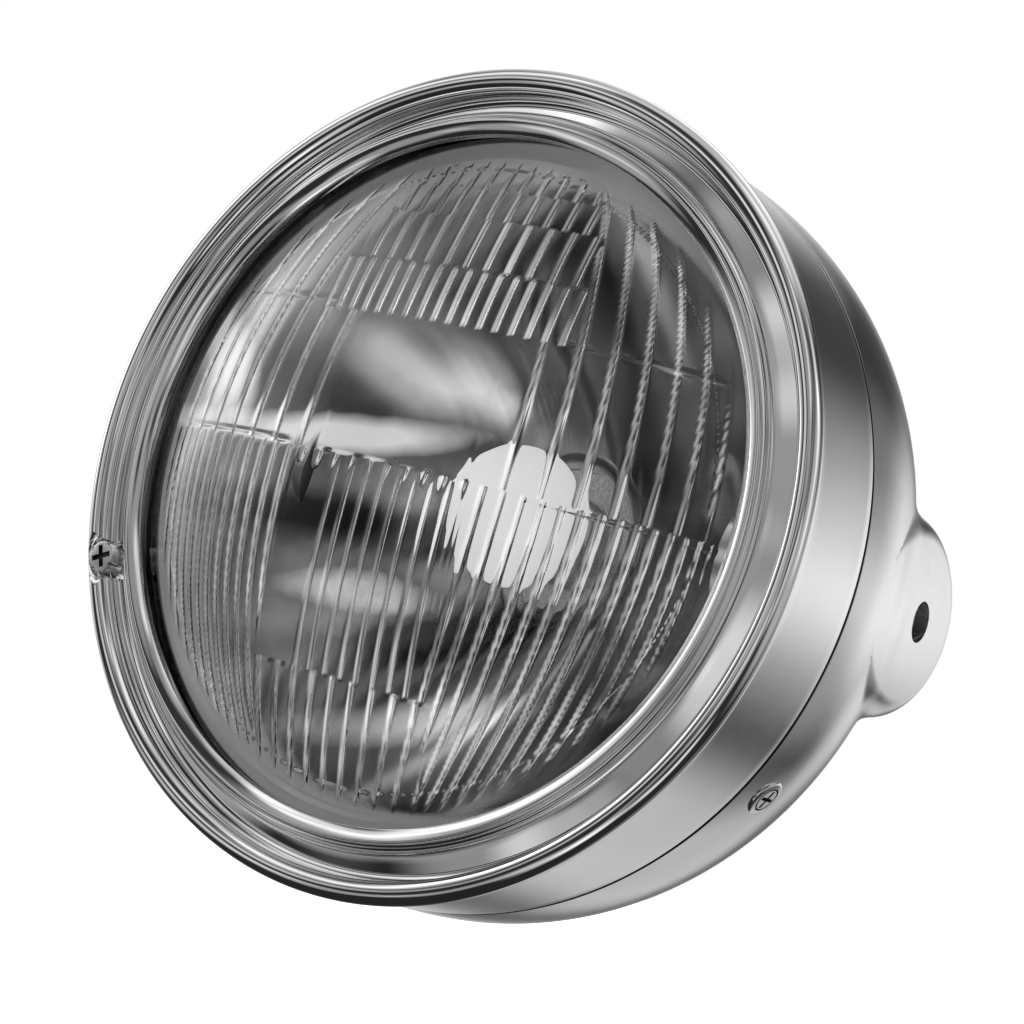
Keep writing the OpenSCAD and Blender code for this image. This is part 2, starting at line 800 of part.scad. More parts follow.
// Two coiled filaments on their support wires
module bulb_filaments() {
    color("gray")
        clocked(0) {
            for (x = [-wire_out, 0, wire_out])
                rod(bulb_wire_r, bulb_front + 11, wire_end, x);
            rod(coil_r, bulb_front + 12, bulb_front + 17.5, wire_out / 2);
            spoke(bulb_wire_r, -wire_out, 2, bulb_front + 12);
            spoke(coil_r, 0, wire_out, bulb_front + 23);
        }
}

// Cup-shaped shield under the dipped filament
module bulb_shield() {
    cup_r = 5.6;
    cup_front = bulb_front + 9;
    cup_len = 10;
    wall = 0.6;
    stem_w = 3;
    color("lightgray")
        union() {
            difference() {
                clocked(0)
                    difference() {
                        rod(cup_r, cup_front, cup_front + cup_len);
                        rod(cup_r - wall, cup_front + 1, cup_front + cup_len + past);
                    }
                translate([-cup_r - past, cup_front - past - bolt_back, -1])
                    cube([2 * (cup_r + past), cup_len + 2 * past, cup_r + 2 * past]);
            }
            translate([-stem_w / 2, cup_front + cup_len - 1 - bolt_back, 0.1 - cup_r])
                cube([stem_w, wire_end - cup_front - cup_len + 1, 0.4]);
        }
}

// Three flat blades behind the bulb's base
module bulb_terminals() {
    start = base_depth + 1 + cap_len;
    blade_w = 8;
    blade_t = 0.8;
    blade_out = 8.4;
    color("goldenrod")
        translate([0, start - bolt_back, 0]) {
            translate([-blade_w / 2, 0, blade_out - blade_t])
                cube([blade_w, terminal_len, blade_t]);
            for (side = [-1, 1])
                translate([side * blade_out - blade_t / 2, 0, -blade_w * 0.75])
                    cube([blade_t, terminal_len, blade_w]);
        }
}

// Bent wire that holds the bulb's flange down on the reflector
module bulb_clip() {
    mid_r = (cap_r + bulb_flange_r) / 2;
    depth = base_depth + 1 + clip_wire_r;
    reach = neck_r - reflector_sheet - 0.3;
    color("lightgray")
        union() {
            translate([0, depth - bolt_back, 0])
                rotate([-90, 0, 0])
                    rotate_extrude($fn = 64)
                        translate([mid_r, 0])
                            circle(r = clip_wire_r, $fn = 16);
            for (angle = [0, 90, 180, 270])
                clocked(angle)
                    translate([mid_r, depth, 0])
                        rotate([0, 90, 0])
                            cylinder(r = clip_wire_r * 0.9, h = reach - mid_r, $fn = 24);
        }
}

// Rubber boot over the neck, with ribs, open in the middle for the terminals
module bulb_boot() {
    grip = neck_end - 6;
    in_r = neck_r + 0.05;
    lip_in = bulb_opening_r - 3.6;
    back = neck_end + 3;
    color("dimgray")
        turned()
            polygon([[in_r, grip], [in_r + boot_wall, grip], [in_r + boot_wall + 0.6, grip + 1],
                [in_r + boot_wall, grip + 2], [in_r + boot_wall, neck_end],
                [in_r - 1, back], [lip_in + boot_wall, back + 2], [lip_in + boot_wall, back + 6],
                [lip_in, back + 6], [lip_in, back],
                [in_r - 3, neck_end + 0.3], [in_r, neck_end + 0.3]]);
}

bowl();
left_mount_bush();
right_mount_bush();
rear_grommet();
rim();
left_rim_screw();
right_rim_screw();
left_clip_nut();
right_clip_nut();
upper_pivot_stud();
lower_pivot_stud();
adjuster_screw();
adjuster_spring();
adjuster_nut();
lens();
lens_seal();
reflector();
retaining_ring();
unit_ring();
unit_screws();
bulb_glass();
bulb_base();
bulb_filaments();
bulb_shield();
bulb_terminals();
bulb_clip();
bulb_boot();
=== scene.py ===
"""Round motorcycle headlight: chromed bowl and rim, fluted glass, reflector, bulb and aim adjuster.
Lengths are in millimetres and angles in degrees. Depths run backwards from a plane that lies CREST behind
the front of the rim's bead."""
import math

import bmesh
import bpy
import numpy as np
from mathutils import Matrix, Vector


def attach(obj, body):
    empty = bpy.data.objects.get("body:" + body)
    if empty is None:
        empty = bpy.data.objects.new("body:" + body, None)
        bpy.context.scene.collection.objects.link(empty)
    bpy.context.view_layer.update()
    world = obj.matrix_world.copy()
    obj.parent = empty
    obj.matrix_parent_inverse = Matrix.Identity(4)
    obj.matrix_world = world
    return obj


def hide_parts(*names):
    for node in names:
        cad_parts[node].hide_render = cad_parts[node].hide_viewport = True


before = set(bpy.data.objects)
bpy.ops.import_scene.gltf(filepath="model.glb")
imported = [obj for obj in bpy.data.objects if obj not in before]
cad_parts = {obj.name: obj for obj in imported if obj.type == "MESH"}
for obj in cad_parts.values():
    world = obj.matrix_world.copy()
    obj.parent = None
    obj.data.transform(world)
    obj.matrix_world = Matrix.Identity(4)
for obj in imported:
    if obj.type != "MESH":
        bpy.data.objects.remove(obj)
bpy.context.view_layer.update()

MM = 0.001
BOLT_BACK = 70.0
# Edges that turn by more than this stay sharp
SHARP = math.radians(30)

# Rim
RIM_R = 100.0
OPENING_R = 83.0
BEAD_R = 2.8
LIP_R = 2.1
LIP_END = -0.4
LIP_FOOT = (83.0, -2.3)
LIP_BULGE = (84.5, -3.4)
LIP_TOP = (86.5, -4.05)
LIP_FOOT_ROUND = 0.3
LIP_ROUND = 1.2
LIP_TOP_ROUND = 0.7
CREST = 4.0
# Between lip and band: a valley and the fine raised line beside it, as (radius, depth)
VALLEY = (87.2, -1.25)
VALLEY_ROUND = 0.12
LINE_FOOT = (87.8, -1.65)
LINE_MID = (88.15, -1.35)
LINE_R = 0.5
LINE_ARC = (215, 330)
LINE_BACK = (88.95, -1.0)
LINE_ROUND = 0.1
BAND_GROOVE = (89.0, -1.1)
BAND_INNER = (89.3, -1.3)
BAND_OUTER = (94.35, 0.65)
BAND_INNER_ROUND = 0.14
BAND_OUTER_ROUND = 0.16
BEAD_FOOT = (94.63, 0.05)
BEAD_MID = (RIM_R - BEAD_R, BEAD_R - CREST)
BEAD_ARC = (152, 405)
SKIRT_FRONT = (98.5, 1.8)
SKIRT_BACK = (99.4, 29.95)
SKIRT_ROUND = 0.4
SKIRT_FRONT_ROUND = 0.25
SHEET = 1.0
NOTCH_R = 5.6
NOTCH_DEPTH = 1.2
# Radius and depth of the notch, which flares towards the front
NOTCH = ((4.9, 1.2), (5.0, 0.0), (5.05, -1.4), (5.2, -2.2), (5.5, -2.9), (6.0, -3.4), (6.7, -3.75),
         (7.6, -4.0), (8.8, -4.3))
NOTCH_FILL_R = 98.0
ADJUSTER_BORE_R = 2.1
ADJUSTER_OUT = 94.0
ADJUSTER_ANGLE = 204.6

# Bowl
BOWL_FRONT = 30.65
SEAM_ROUND = 0.45
SEAM_BACK = BOWL_FRONT + SEAM_ROUND
BOWL_R = 100.4
BOWL_WIDE = 45.0
BOWL_BACK = 78.0
BOWL_SHEET = 1.2
SEAM_R = 99.4
BOSS_FACE = 100.0
BOSS_R = 25.0
BOSS_EDGE = 6.0
BOSS_FALL = 0.8
BOSS_NOSE = 0.7
BOSS_FILLET = 2.4
BOSS_FOOT = 62.0
BOSS_HOLE = 5.0
BOSS_HOLE_FROM, BOSS_HOLE_TO = 50.0, 104.0
BOSS_INSIDE_R = 23.0
BOSS_INSIDE_TO = 94.0
# The fillet round a boss grows from nothing to its full size between these depths
FILLET_FROM, FILLET_FULL = 48.0, 60.0
SCREW_HOLE_R = 2.8
SCREW_HOLE_FROM, SCREW_HOLE_TO = 92.0, 104.0
INLET_R = 17.0

# Lens
LENS_EDGE_R = 87.6
LENS_INNER_R = 84.0
LENS_EDGE_DEPTH = 8.2
LENS_SET = 2.0
LENS_DOME = 18.0
GLASS = 3.6
HOLLOW = 0.03
FIELD_R = 74.5
RIB_END_R = 79.0


def ease(a, b, x):
    t = np.clip((x - a) / (b - a), 0, 1)
    return t * t * (3 - 2 * t)


def metres(points):
    """Points of the tables, as row-frame metres: depth becomes Y counted from the bolts' axis."""
    p = np.asarray(points, float)
    return np.column_stack([p[:, 0], p[:, 1] - BOLT_BACK, p[:, 2]]) * MM


def make_mesh(name, points, faces):
    mesh = bpy.data.meshes.new(name)
    mesh.from_pydata([tuple(p) for p in points], [], [tuple(f) for f in faces])
    mesh.validate()
    mesh.shade_smooth()
    mesh.update()
    return mesh


def add_object(name, data):
    thing = bpy.data.objects.new(name, data)
    bpy.context.scene.collection.objects.link(thing)
    return thing


def from_bmesh(name, bm):
    mesh = bpy.data.meshes.new(name)
    bm.to_mesh(mesh)
    bm.free()
    return mesh


def make_piece(name, mesh, material, body, replaces):
    piece = add_object(name, mesh)
    mesh.materials.clear()
    mesh.materials.append(material)
    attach(piece, body)
    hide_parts(*replaces)
    return piece


def arc(mid, r, start, end, steps):
    a = np.radians(np.linspace(start, end, steps + 1))
    return [(mid[0] + r * math.cos(t), mid[1] + r * math.sin(t)) for t in a]


def turned(outline, steps, closed=True):
    """Points and faces of an outline of (radius, depth) turned round the lamp's axis, lens side at -Y."""
    n = len(outline)
    turn = np.linspace(0, 2 * math.pi, steps, endpoint=False)
    r = np.array([p[0] for p in outline])
    d = np.array([p[1] for p in outline])
    points = np.stack([np.outer(np.cos(turn), r), np.tile(d, (steps, 1)),
                       np.outer(np.sin(turn), r)], -1).reshape(-1, 3)
    last = n if closed else n - 1
    faces = []
    for i in range(steps):
        k = (i + 1) % steps
        for j in range(last):
            m = (j + 1) % n
            faces.append((i * n + j, i * n + m, k * n + m, k * n + j))
    return metres(points), faces


def face_out(bm):
    bmesh.ops.recalc_face_normals(bm, faces=bm.faces)
    if bm.calc_volume(signed=True) < 0:
        bmesh.ops.reverse_faces(bm, faces=bm.faces)


def outward(mesh):
    """Turns the faces of a closed mesh outwards, after its double points are merged."""
    bm = bmesh.new()
    bm.from_mesh(mesh)
    bmesh.ops.remove_doubles(bm, verts=bm.verts, dist=1e-7)
    face_out(bm)
    bm.to_mesh(mesh)
    bm.free()
    return mesh


def closed_turned(name, outline, steps):
    points, faces = turned(outline, steps)
    mesh = outward(make_mesh(name, points, faces))
    mesh.set_sharp_from_angle(angle=SHARP)
    return mesh


def turned_about(name, outline, steps, matrix):
    """A turned form about the matrix's own depth axis."""
    mesh = closed_turned(name, outline, steps)
    mesh.transform(Matrix.Translation((0, BOLT_BACK * MM, 0)))
    mesh.transform(matrix)
    return mesh


def clock(angle):
    """Turns a thing made at the right, where X points outwards, to a clock angle of the lamp."""
    return Matrix.Rotation(-math.radians(angle), 4, "Y")


def place(r, depth, angle):
    return clock(angle) @ Matrix.Translation(Vector((r, depth - BOLT_BACK, 0)) * MM)


def rod_mesh(name, r, front, back, matrix, steps=64):
    """A closed rod along the lamp's axis, about the matrix's own point."""
    bm = bmesh.new()
    bmesh.ops.create_cone(bm, cap_ends=True, cap_tris=False, segments=steps, radius1=r * MM,
                          radius2=r * MM, depth=(back - front) * MM)
    bm.transform(matrix @ Matrix.Translation(Vector((0, (front + back) / 2, 0)) * MM)
                 @ Matrix.Rotation(math.pi / 2, 4, "X"))
    face_out(bm)
    return from_bmesh(name, bm)


def carve(mesh, steps):
    """Joins to a mesh or cuts from it, in order, and gives back one clean mesh."""
    body = add_object("carved", mesh)
    tools = []
    for how, tool_mesh in steps:
        tool = add_object("tool", tool_mesh)
        tools.append(tool)
        cut = body.modifiers.new(how, "BOOLEAN")
        cut.operation = how
        cut.object = tool
        cut.solver = "EXACT"
    depsgraph = bpy.context.evaluated_depsgraph_get()
    result = bpy.data.meshes.new_from_object(body.evaluated_get(depsgraph))
    for thing in tools + [body]:
        bpy.data.objects.remove(thing)
    result.shade_smooth()
    result.set_sharp_from_angle(angle=SHARP)
    return result


def box_mesh(name, low, high, matrix):
    """A closed box between two corners of (outwards, depth, across)."""
    bm = bmesh.new()
    bmesh.ops.create_cube(bm, size=1)
    low, high = np.array(low, float), np.array(high, float)
    mid, size = (low + high) / 2 * MM, (high - low) * MM
    bm.transform(matrix @ Matrix.Translation(Vector(mid)) @ Matrix.Diagonal((*size, 1)))
    face_out(bm)
    return from_bmesh(name, bm)


def joined(name, meshes):
    bm = bmesh.new()
    for mesh in meshes:
        bm.from_mesh(mesh)
    return from_bmesh(name, bm)


def mesh_points(mesh):
    """The mesh's points as (right, depth, up) in millimetres."""
    co = np.zeros(len(mesh.vertices) * 3)
    mesh.vertices.foreach_get("co", co)
    return co.reshape(-1, 3) / MM + np.array([0, BOLT_BACK, 0])


def face_data(mesh):
    """Middle and normal of each face, and the face and point that each corner belongs to."""
    n = len(mesh.polygons)
    mid, normal, start = np.zeros(n * 3), np.zeros(n * 3), np.zeros(n, int)
    mesh.polygons.foreach_get("center", mid)
    mesh.polygons.foreach_get("normal", normal)
    mesh.polygons.foreach_get("loop_total", start)
    face = np.repeat(np.arange(n), start)
    point = np.zeros(len(mesh.loops), int)
    mesh.loops.foreach_get("vertex_index", point)
    return mid.reshape(-1, 3) / MM + np.array([0, BOLT_BACK, 0]), normal.reshape(-1, 3), face, point


def set_corners(mesh, which, slopes):
    """Gives some corners their own slopes and leaves the others as they are."""
    normals = np.zeros(len(mesh.loops) * 3)
    mesh.corner_normals.foreach_get("vector", normals)
    normals = normals.reshape(-1, 3)
    normals[which] = slopes / np.maximum(np.linalg.norm(slopes, axis=1, keepdims=True), 1e-9)
    mesh.normals_split_custom_set([tuple(n) for n in normals])


def true_turned(mesh, outline):
    """Faces on a turned form get the form's exact slopes, also where a cut has split them."""
    q = np.asarray(outline, float)
    edge = np.roll(q, -1, axis=0) - q
    length = np.maximum(np.linalg.norm(edge, axis=1), 1e-9)
    along = edge / length[:, None]
    area = np.sum(q[:, 0] * np.roll(q[:, 1], -1) - np.roll(q[:, 0], -1) * q[:, 1])
    own = np.column_stack([along[:, 1], -along[:, 0]]) * np.sign(area)
    before = np.roll(own, 1, axis=0)
    smooth = np.sum(own * before, axis=1) > math.cos(SHARP)
    first = np.where(smooth[:, None], own + before, own)
    after = np.roll(own, -1, axis=0)
    last = np.where(np.roll(smooth, -1)[:, None], own + after, own)
    first /= np.linalg.norm(first, axis=1, keepdims=True)
    last /= np.linalg.norm(last, axis=1, keepdims=True)
    mid, normal, face, point = face_data(mesh)
    r = np.hypot(mid[:, 0], mid[:, 2])
    spot = np.column_stack([r, mid[:, 1]])
    lean = np.column_stack([(normal[:, 0] * mid[:, 0] + normal[:, 2] * mid[:, 2]) / np.maximum(r, 1e-9),
                            normal[:, 1]])
    best, which = np.full(len(spot), 9.0), np.zeros(len(spot), int)
    for j in range(len(q)):
        t = np.clip((spot - q[j]) @ along[j], 0, length[j])
        away = np.linalg.norm(spot - q[j] - t[:, None] * along[j], axis=1) + 0.2 * (1 - lean @ own[j])
        nearer = away < best
        best[nearer], which[nearer] = away[nearer], j
    on_form = (best < 0.03)[face]
    p = mesh_points(mesh)[point[on_form]]
    j = which[face[on_form]]
    pr = np.hypot(p[:, 0], p[:, 2])
    reach = np.sum((np.column_stack([pr, p[:, 1]]) - q[j]) * along[j], axis=1)
    t = np.clip(reach / length[j], 0, 1)[:, None]
    flat = first[j] * (1 - t) + last[j] * t
    round_about = flat[:, 0] / pr
    set_corners(mesh, on_form, np.column_stack([round_about * p[:, 0], flat[:, 1], round_about * p[:, 2]]))


def about_bolts(name, profile, side, steps=180, closed=False):
    """A profile of (radius, distance from the lamp's middle) turned about the axis of the side bolts."""
    turn = np.linspace(0, 2 * math.pi, steps, endpoint=False)
    n = len(profile)
    points = [(x * side, BOLT_BACK + r * math.cos(t), r * math.sin(t)) for t in turn for r, x in profile]
    faces = []
    for i in range(steps):
        k = (i + 1) % steps
        faces += [(i * n + j, k * n + j, k * n + (j + 1) % n, i * n + (j + 1) % n)
                  for j in range(n if closed else n - 1)]
    return outward(make_mesh(name, metres(points), faces))


def ridge_tree():
    """Geometry nodes: a thread's ridge, a pointed section carried along a screw line."""
    tree = bpy.data.node_groups.new("thread_ridge", "GeometryNodeTree")
    tree.interface.new_socket("Geometry", in_out="OUTPUT", socket_type="NodeSocketGeometry")
    names = (("Turns", "Float"), ("Points a turn", "Int"), ("Radius", "Float"), ("Length", "Float"),
             ("Ridge", "Float"), ("Material", "Material"))
    for name, kind in names:
        tree.interface.new_socket(name, in_out="INPUT", socket_type="NodeSocket" + kind)
    add, link = tree.nodes.new, tree.links.new
    given, out = add("NodeGroupInput"), add("NodeGroupOutput")
    way = add("GeometryNodeCurveSpiral")
    for a, b in (("Points a turn", "Resolution"), ("Turns", "Rotations"), ("Radius", "Start Radius"),
                 ("Radius", "End Radius"), ("Length", "Height")):
        link(given.outputs[a], way.inputs[b])
    upright = add("GeometryNodeSetCurveNormal")
    upright.mode = "Z_UP"
    section = add("GeometryNodeCurvePrimitiveCircle")
    section.inputs["Resolution"].default_value = 4
    link(given.outputs["Ridge"], section.inputs["Radius"])
    sweep = add("GeometryNodeCurveToMesh")
    sweep.inputs["Fill Caps"].default_value = True
    paint = add("GeometryNodeSetMaterial")
    whole = add("GeometryNodeRealizeInstances")
    link(way.outputs["Curve"], upright.inputs["Curve"])
    link(upright.outputs["Curve"], sweep.inputs["Curve"])
    link(section.outputs["Curve"], sweep.inputs["Profile Curve"])
    link(sweep.outputs["Mesh"], whole.inputs["Geometry"])
    link(whole.outputs["Geometry"], paint.inputs["Geometry"])
    link(given.outputs["Material"], paint.inputs["Material"])
    link(paint.outputs["Geometry"], out.inputs["Geometry"])
    return tree


def thread_mesh(tree, r, length, pitch, ridge, material, matrix, points=48):
    """One thread from the tree, laid along the matrix's own X."""
    carrier = add_object("thread", bpy.data.meshes.new("thread"))
    nodes = carrier.modifiers.new("thread_ridge", "NODES")
    nodes.node_group = tree
    values = {"Turns": length / pitch, "Points a turn": points, "Radius": r * MM, "Length": length * MM,
              "Ridge": ridge * MM, "Material": material}
    for socket in tree.interface.items_tree:
        if socket.name in values:
            nodes[socket.identifier] = values[socket.name]
    depsgraph = bpy.context.evaluated_depsgraph_get()
    mesh = bpy.data.meshes.new_from_object(carrier.evaluated_get(depsgraph))
    bpy.data.objects.remove(carrier)
    mesh.transform(matrix @ Matrix.Rotation(math.pi / 2, 4, "Y"))
    return outward(mesh)


# Materials

def grey(shade):
    return (shade, shade, shade, 1)


class Shader:
    """A new material's nodes, with short calls to add and join them."""

    def __init__(self, name):
        self.material = bpy.data.materials.new(name)
        self.material.use_nodes = True
        self.tree = self.material.node_tree
        self.tree.nodes.clear()
        self.out = self.tree.nodes.new("ShaderNodeOutputMaterial")
        self.bsdf = self.add("ShaderNodeBsdfPrincipled")
        self.join(self.bsdf.outputs[0], self.out.inputs["Surface"])

    def add(self, kind, **values):
        node = self.tree.nodes.new(kind)
        for key, value in values.items():
            if key in node.inputs:
                node.inputs[key].default_value = value
            else:
                setattr(node, key, value)
        return node

    def join(self, a, b):
        self.tree.links.new(a, b)

    def spot(self):
        return self.add("ShaderNodeTexCoord").outputs["Object"]

    def noise(self, scale, detail=4.0):
        node = self.add("ShaderNodeTexNoise", Scale=scale, Detail=detail, Roughness=0.55)
        self.join(self.spot(), node.inputs["Vector"])
        return node.outputs["Fac"]

    def scaled(self, a, times, plus):
        """A value times a number, plus a number or another value."""
        node = self.add("ShaderNodeMath", operation="MULTIPLY_ADD")
        self.join(a, node.inputs[0])
        node.inputs[1].default_value = times
        if isinstance(plus, float):
            node.inputs[2].default_value = plus
        else:
            self.join(plus, node.inputs[2])
        return node.outputs[0]

    def distance(self, scale, middle=(0, 0, 0), turn=0.0):
        """Distance from a middle, measured in the unit of each axis of a turned frame."""
        frame_of = self.add("ShaderNodeMapping", vector_type="TEXTURE")
        frame_of.inputs["Location"].default_value = middle
        frame_of.inputs["Rotation"].default_value = (0, turn, 0)
        frame_of.inputs["Scale"].default_value = scale
        self.join(self.spot(), frame_of.inputs["Vector"])
        length = self.add("ShaderNodeVectorMath", operation="LENGTH")
        self.join(frame_of.outputs[0], length.inputs[0])
        return length.outputs["Value"]

    def ramp(self, source, low, high, at=(0.3, 0.7)):
        """Spreads a 0..1 value over a range of plain numbers."""
        node = self.add("ShaderNodeMapRange")
        node.inputs["From Min"].default_value = at[0]
        node.inputs["From Max"].default_value = at[1]
        node.inputs["To Min"].default_value = low
        node.inputs["To Max"].default_value = high
        self.join(source, node.inputs["Value"])
        return node.outputs[0]

    def mix(self, source, a, b):
        """Between two colours, or two greys given as plain numbers."""
        node = self.add("ShaderNodeMix", data_type="RGBA")
        self.join(source, node.inputs[0])
        for key, shade in ((6, a), (7, b)):
            node.inputs[key].default_value = (*shade, 1) if isinstance(shade, tuple) else grey(shade)
        return node.outputs[2]

    def drift(self, scale, a, b, detail=3.0):
        """A colour that wanders slowly between two."""
        return self.mix(self.ramp(self.noise(scale, detail), 0, 1), a, b)

    def bump(self, source, strength, distance):
        node = self.add("ShaderNodeBump", Strength=strength, Distance=distance)
        self.join(source, node.inputs["Height"])
        self.join(node.outputs[0], self.bsdf.inputs["Normal"])

    def along(self, axis, low, high):
        """0 to 1 between two places on an axis, in metres."""
        split = self.add("ShaderNodeSeparateXYZ")
        self.join(self.spot(), split.inputs[0])
        return self.ramp(split.outputs[axis], 0.0, 1.0, (low, high))

    def darkened(self, colour, amount, dark):
        """Draws a colour towards a dark one by a 0..1 value."""
        node = self.add("ShaderNodeMix", data_type="RGBA")
        self.join(amount, node.inputs[0])
        self.join(colour, node.inputs[6])
        node.inputs[7].default_value = grey(dark)
        return node.outputs[2]

    def colour(self, source):
        self.join(source, self.bsdf.inputs["Base Color"])

    def rough(self, source):
        self.join(source, self.bsdf.inputs["Roughness"])

    def glow(self, source):
        """White light of its own, by a number or a value."""
        self.bsdf.inputs["Emission Color"].default_value = grey(1)
        strength = self.bsdf.inputs["Emission Strength"]
        if isinstance(source, float):
            strength.default_value = source
        else:
            self.join(source, strength)


# Painted shade in the seam between rim and bowl: its darkest shade, and how far beside the seam the metal is
# still unshaded and fully shaded
SEAM_SHADE = 0.03
SEAM_SHADE_FROM, SEAM_SHADE_FULL = 0.3, 0.12


def behind(depth):
    """A depth as the row frame's Y, in metres."""
    return (depth - BOLT_BACK) * MM


def metal(name, dark, light, rough, grain=300.0, tint=25.0, seam=None):
    """Metal whose shade drifts slowly and whose grain shows in its roughness; next to a seam it gets painted
    shade.
    """
    s = Shader(name)
    s.bsdf.inputs["Metallic"].default_value = 1.0
    shade = s.drift(tint, dark, light)
    # Next to a seam the metal gets painted shade
    if seam:
        shade = s.darkened(shade, s.along("Y", *seam), SEAM_SHADE)
    s.colour(shade)
    fine = s.noise(grain, detail=5.0)
    s.rough(s.ramp(fine, *rough))
    s.bump(fine, 0.02, 0.00002)
    return s.material


def rim_chrome():
    """Mirror chrome on the rim's face, satin chrome on its skirt, which starts behind the bead; the skirt's
    end gets painted shade at the seam.
    """
    s = Shader("rim_chrome")
    s.bsdf.inputs["Metallic"].default_value = 1.0
    end, edge = SKIRT_BACK[1], SKIRT_FRONT[1]
    # Painted shade darkens the skirt's end at the seam with the bowl
    seam_shade = s.along("Y", behind(end - SEAM_SHADE_FROM), behind(end - SEAM_SHADE_FULL))
    s.colour(s.darkened(s.drift(25.0, 0.82, 0.89), seam_shade, SEAM_SHADE))
    skirt = s.along("Y", behind(edge - 0.15), behind(edge + 0.15))
    s.rough(s.scaled(skirt, 0.17, s.ramp(s.noise(300.0, detail=5.0), 0.012, 0.03)))
    return s.material


def rubber(name, dark=0.018, light=0.035):
    s = Shader(name)
    s.colour(s.drift(90.0, dark, light, 4.0))
    grain = s.noise(1800, detail=6.0)
    s.rough(s.ramp(grain, 0.5, 0.72))
    s.bump(grain, 0.25, 0.0001)
    return s.material


def clear_glass(name, tint=0.95):
    """Clear glass whose steep faces, marked by the mesh's own attribute, glow unevenly as painted glints."""
    s = Shader(name)
    s.bsdf.inputs["Transmission Weight"].default_value = 1.0
    s.bsdf.inputs["IOR"].default_value = 1.5
    s.colour(s.drift(18.0, tint * 0.97, tint, 4.0))
    s.rough(s.ramp(s.noise(60, detail=5.0), 0.0, 0.002))
    # Painted glints: the ribs' steep sides glow white in patches
    steep = s.add("ShaderNodeAttribute", attribute_name="painted_glint")
    glint_glow = s.add("ShaderNodeMath", operation="MULTIPLY")
    s.join(steep.outputs["Fac"], glint_glow.inputs[0])
    s.join(s.ramp(s.noise(30, detail=2.0), 0.02, 0.6, (0.38, 0.66)), glint_glow.inputs[1])
    s.glow(glint_glow.outputs[0])
    return s.material


def opal_glass(name):
    """Frosted pale glass of the bulb, which glows as painted light."""
    s = Shader(name)
    s.colour(s.drift(160.0, 0.78, 0.86, 4.0))
    s.rough(s.ramp(s.noise(500), 0.3, 0.45))
    s.bump(s.noise(2500, detail=4.0), 0.08, 0.00005)
    # Painted light: a glow that makes the frosted glass look brightly lit by the room
    s.glow(0.62)
    return s.material


# Length in metres of an axis along which the painted reflections on the dish don't change
FAR = 1000.0
# Painted reflections: darker and lighter patches of the room's reflection painted into the dish's colour,
# the brightest
# also glowing as painted highlights: middle (right, up), half length, half width, slant, shade, own glow
PAINTED_REFLECTIONS = (
    (-35.0, 37.0, 28.0, 12.0, 12.0, 0.95, 0.02),
    (-30.0, 64.0, 36.0, 6.0, 10.0, 0.1, 0.0),
    (28.0, 20.0, 34.0, 9.0, -40.0, 0.12, 0.0),
    (26.0, 56.0, 18.0, 8.0, -50.0, 0.25, 0.0),
    (-57.0, -11.0, 20.0, 6.5, 15.0, 0.06, 0.0),
    (-18.0, -31.0, 50.0, 7.0, 27.0, 0.06, 0.0),
    (-44.0, -28.0, 13.0, 5.0, 12.0, 1.0, 0.25),
    (-8.0, -55.0, 26.0, 6.0, 24.0, 1.0, 0.2),
    (-58.0, 11.0, 26.0, 4.0, 20.0, 1.0, 0.55),
    (-79.0, 24.0, 4.0, 17.0, 8.0, 1.0, 0.5),
)


def mirror_dish():
    """Silvered dish with painted reflections: soft dark and light patches painted into its colour, some
    glowing as painted highlights. Its outermost border is left unpolished and glows faintly as painted
    light.
    """
    s = Shader("reflector_silver")
    s.bsdf.inputs["Metallic"].default_value = 1.0
    wobble = s.noise(55.0, detail=3.0)
    shade = s.drift(30.0, 0.34, 0.46, 2.0)
    border = s.ramp(s.distance((MM, FAR, MM)), 0.0, 1.0, (FIELD_R + 2, FIELD_R + 4))
    # Painted light: a faint glow on the unpolished border
    glow = s.scaled(border, 0.07, 0.0)
    # Each patch paints a reflection into the colour; its own glow is a painted highlight
    for right, up, long, wide, slant, value, light in PAINTED_REFLECTIONS:
        away = s.distance((long * MM, FAR, wide * MM), (right * MM, 0, up * MM), -math.radians(slant))
        inside = s.ramp(s.scaled(wobble, 0.9, away), 1.0, 0.0, (0.95, 1.75))
        shade = s.darkened(shade, inside, value)
        if light:
            glow = s.scaled(inside, light, glow)
    s.colour(s.darkened(shade, border, 0.75))
    s.glow(glow)
    s.rough(s.ramp(border, 0.1, 0.4, (0.0, 1.0)))
    return s.material


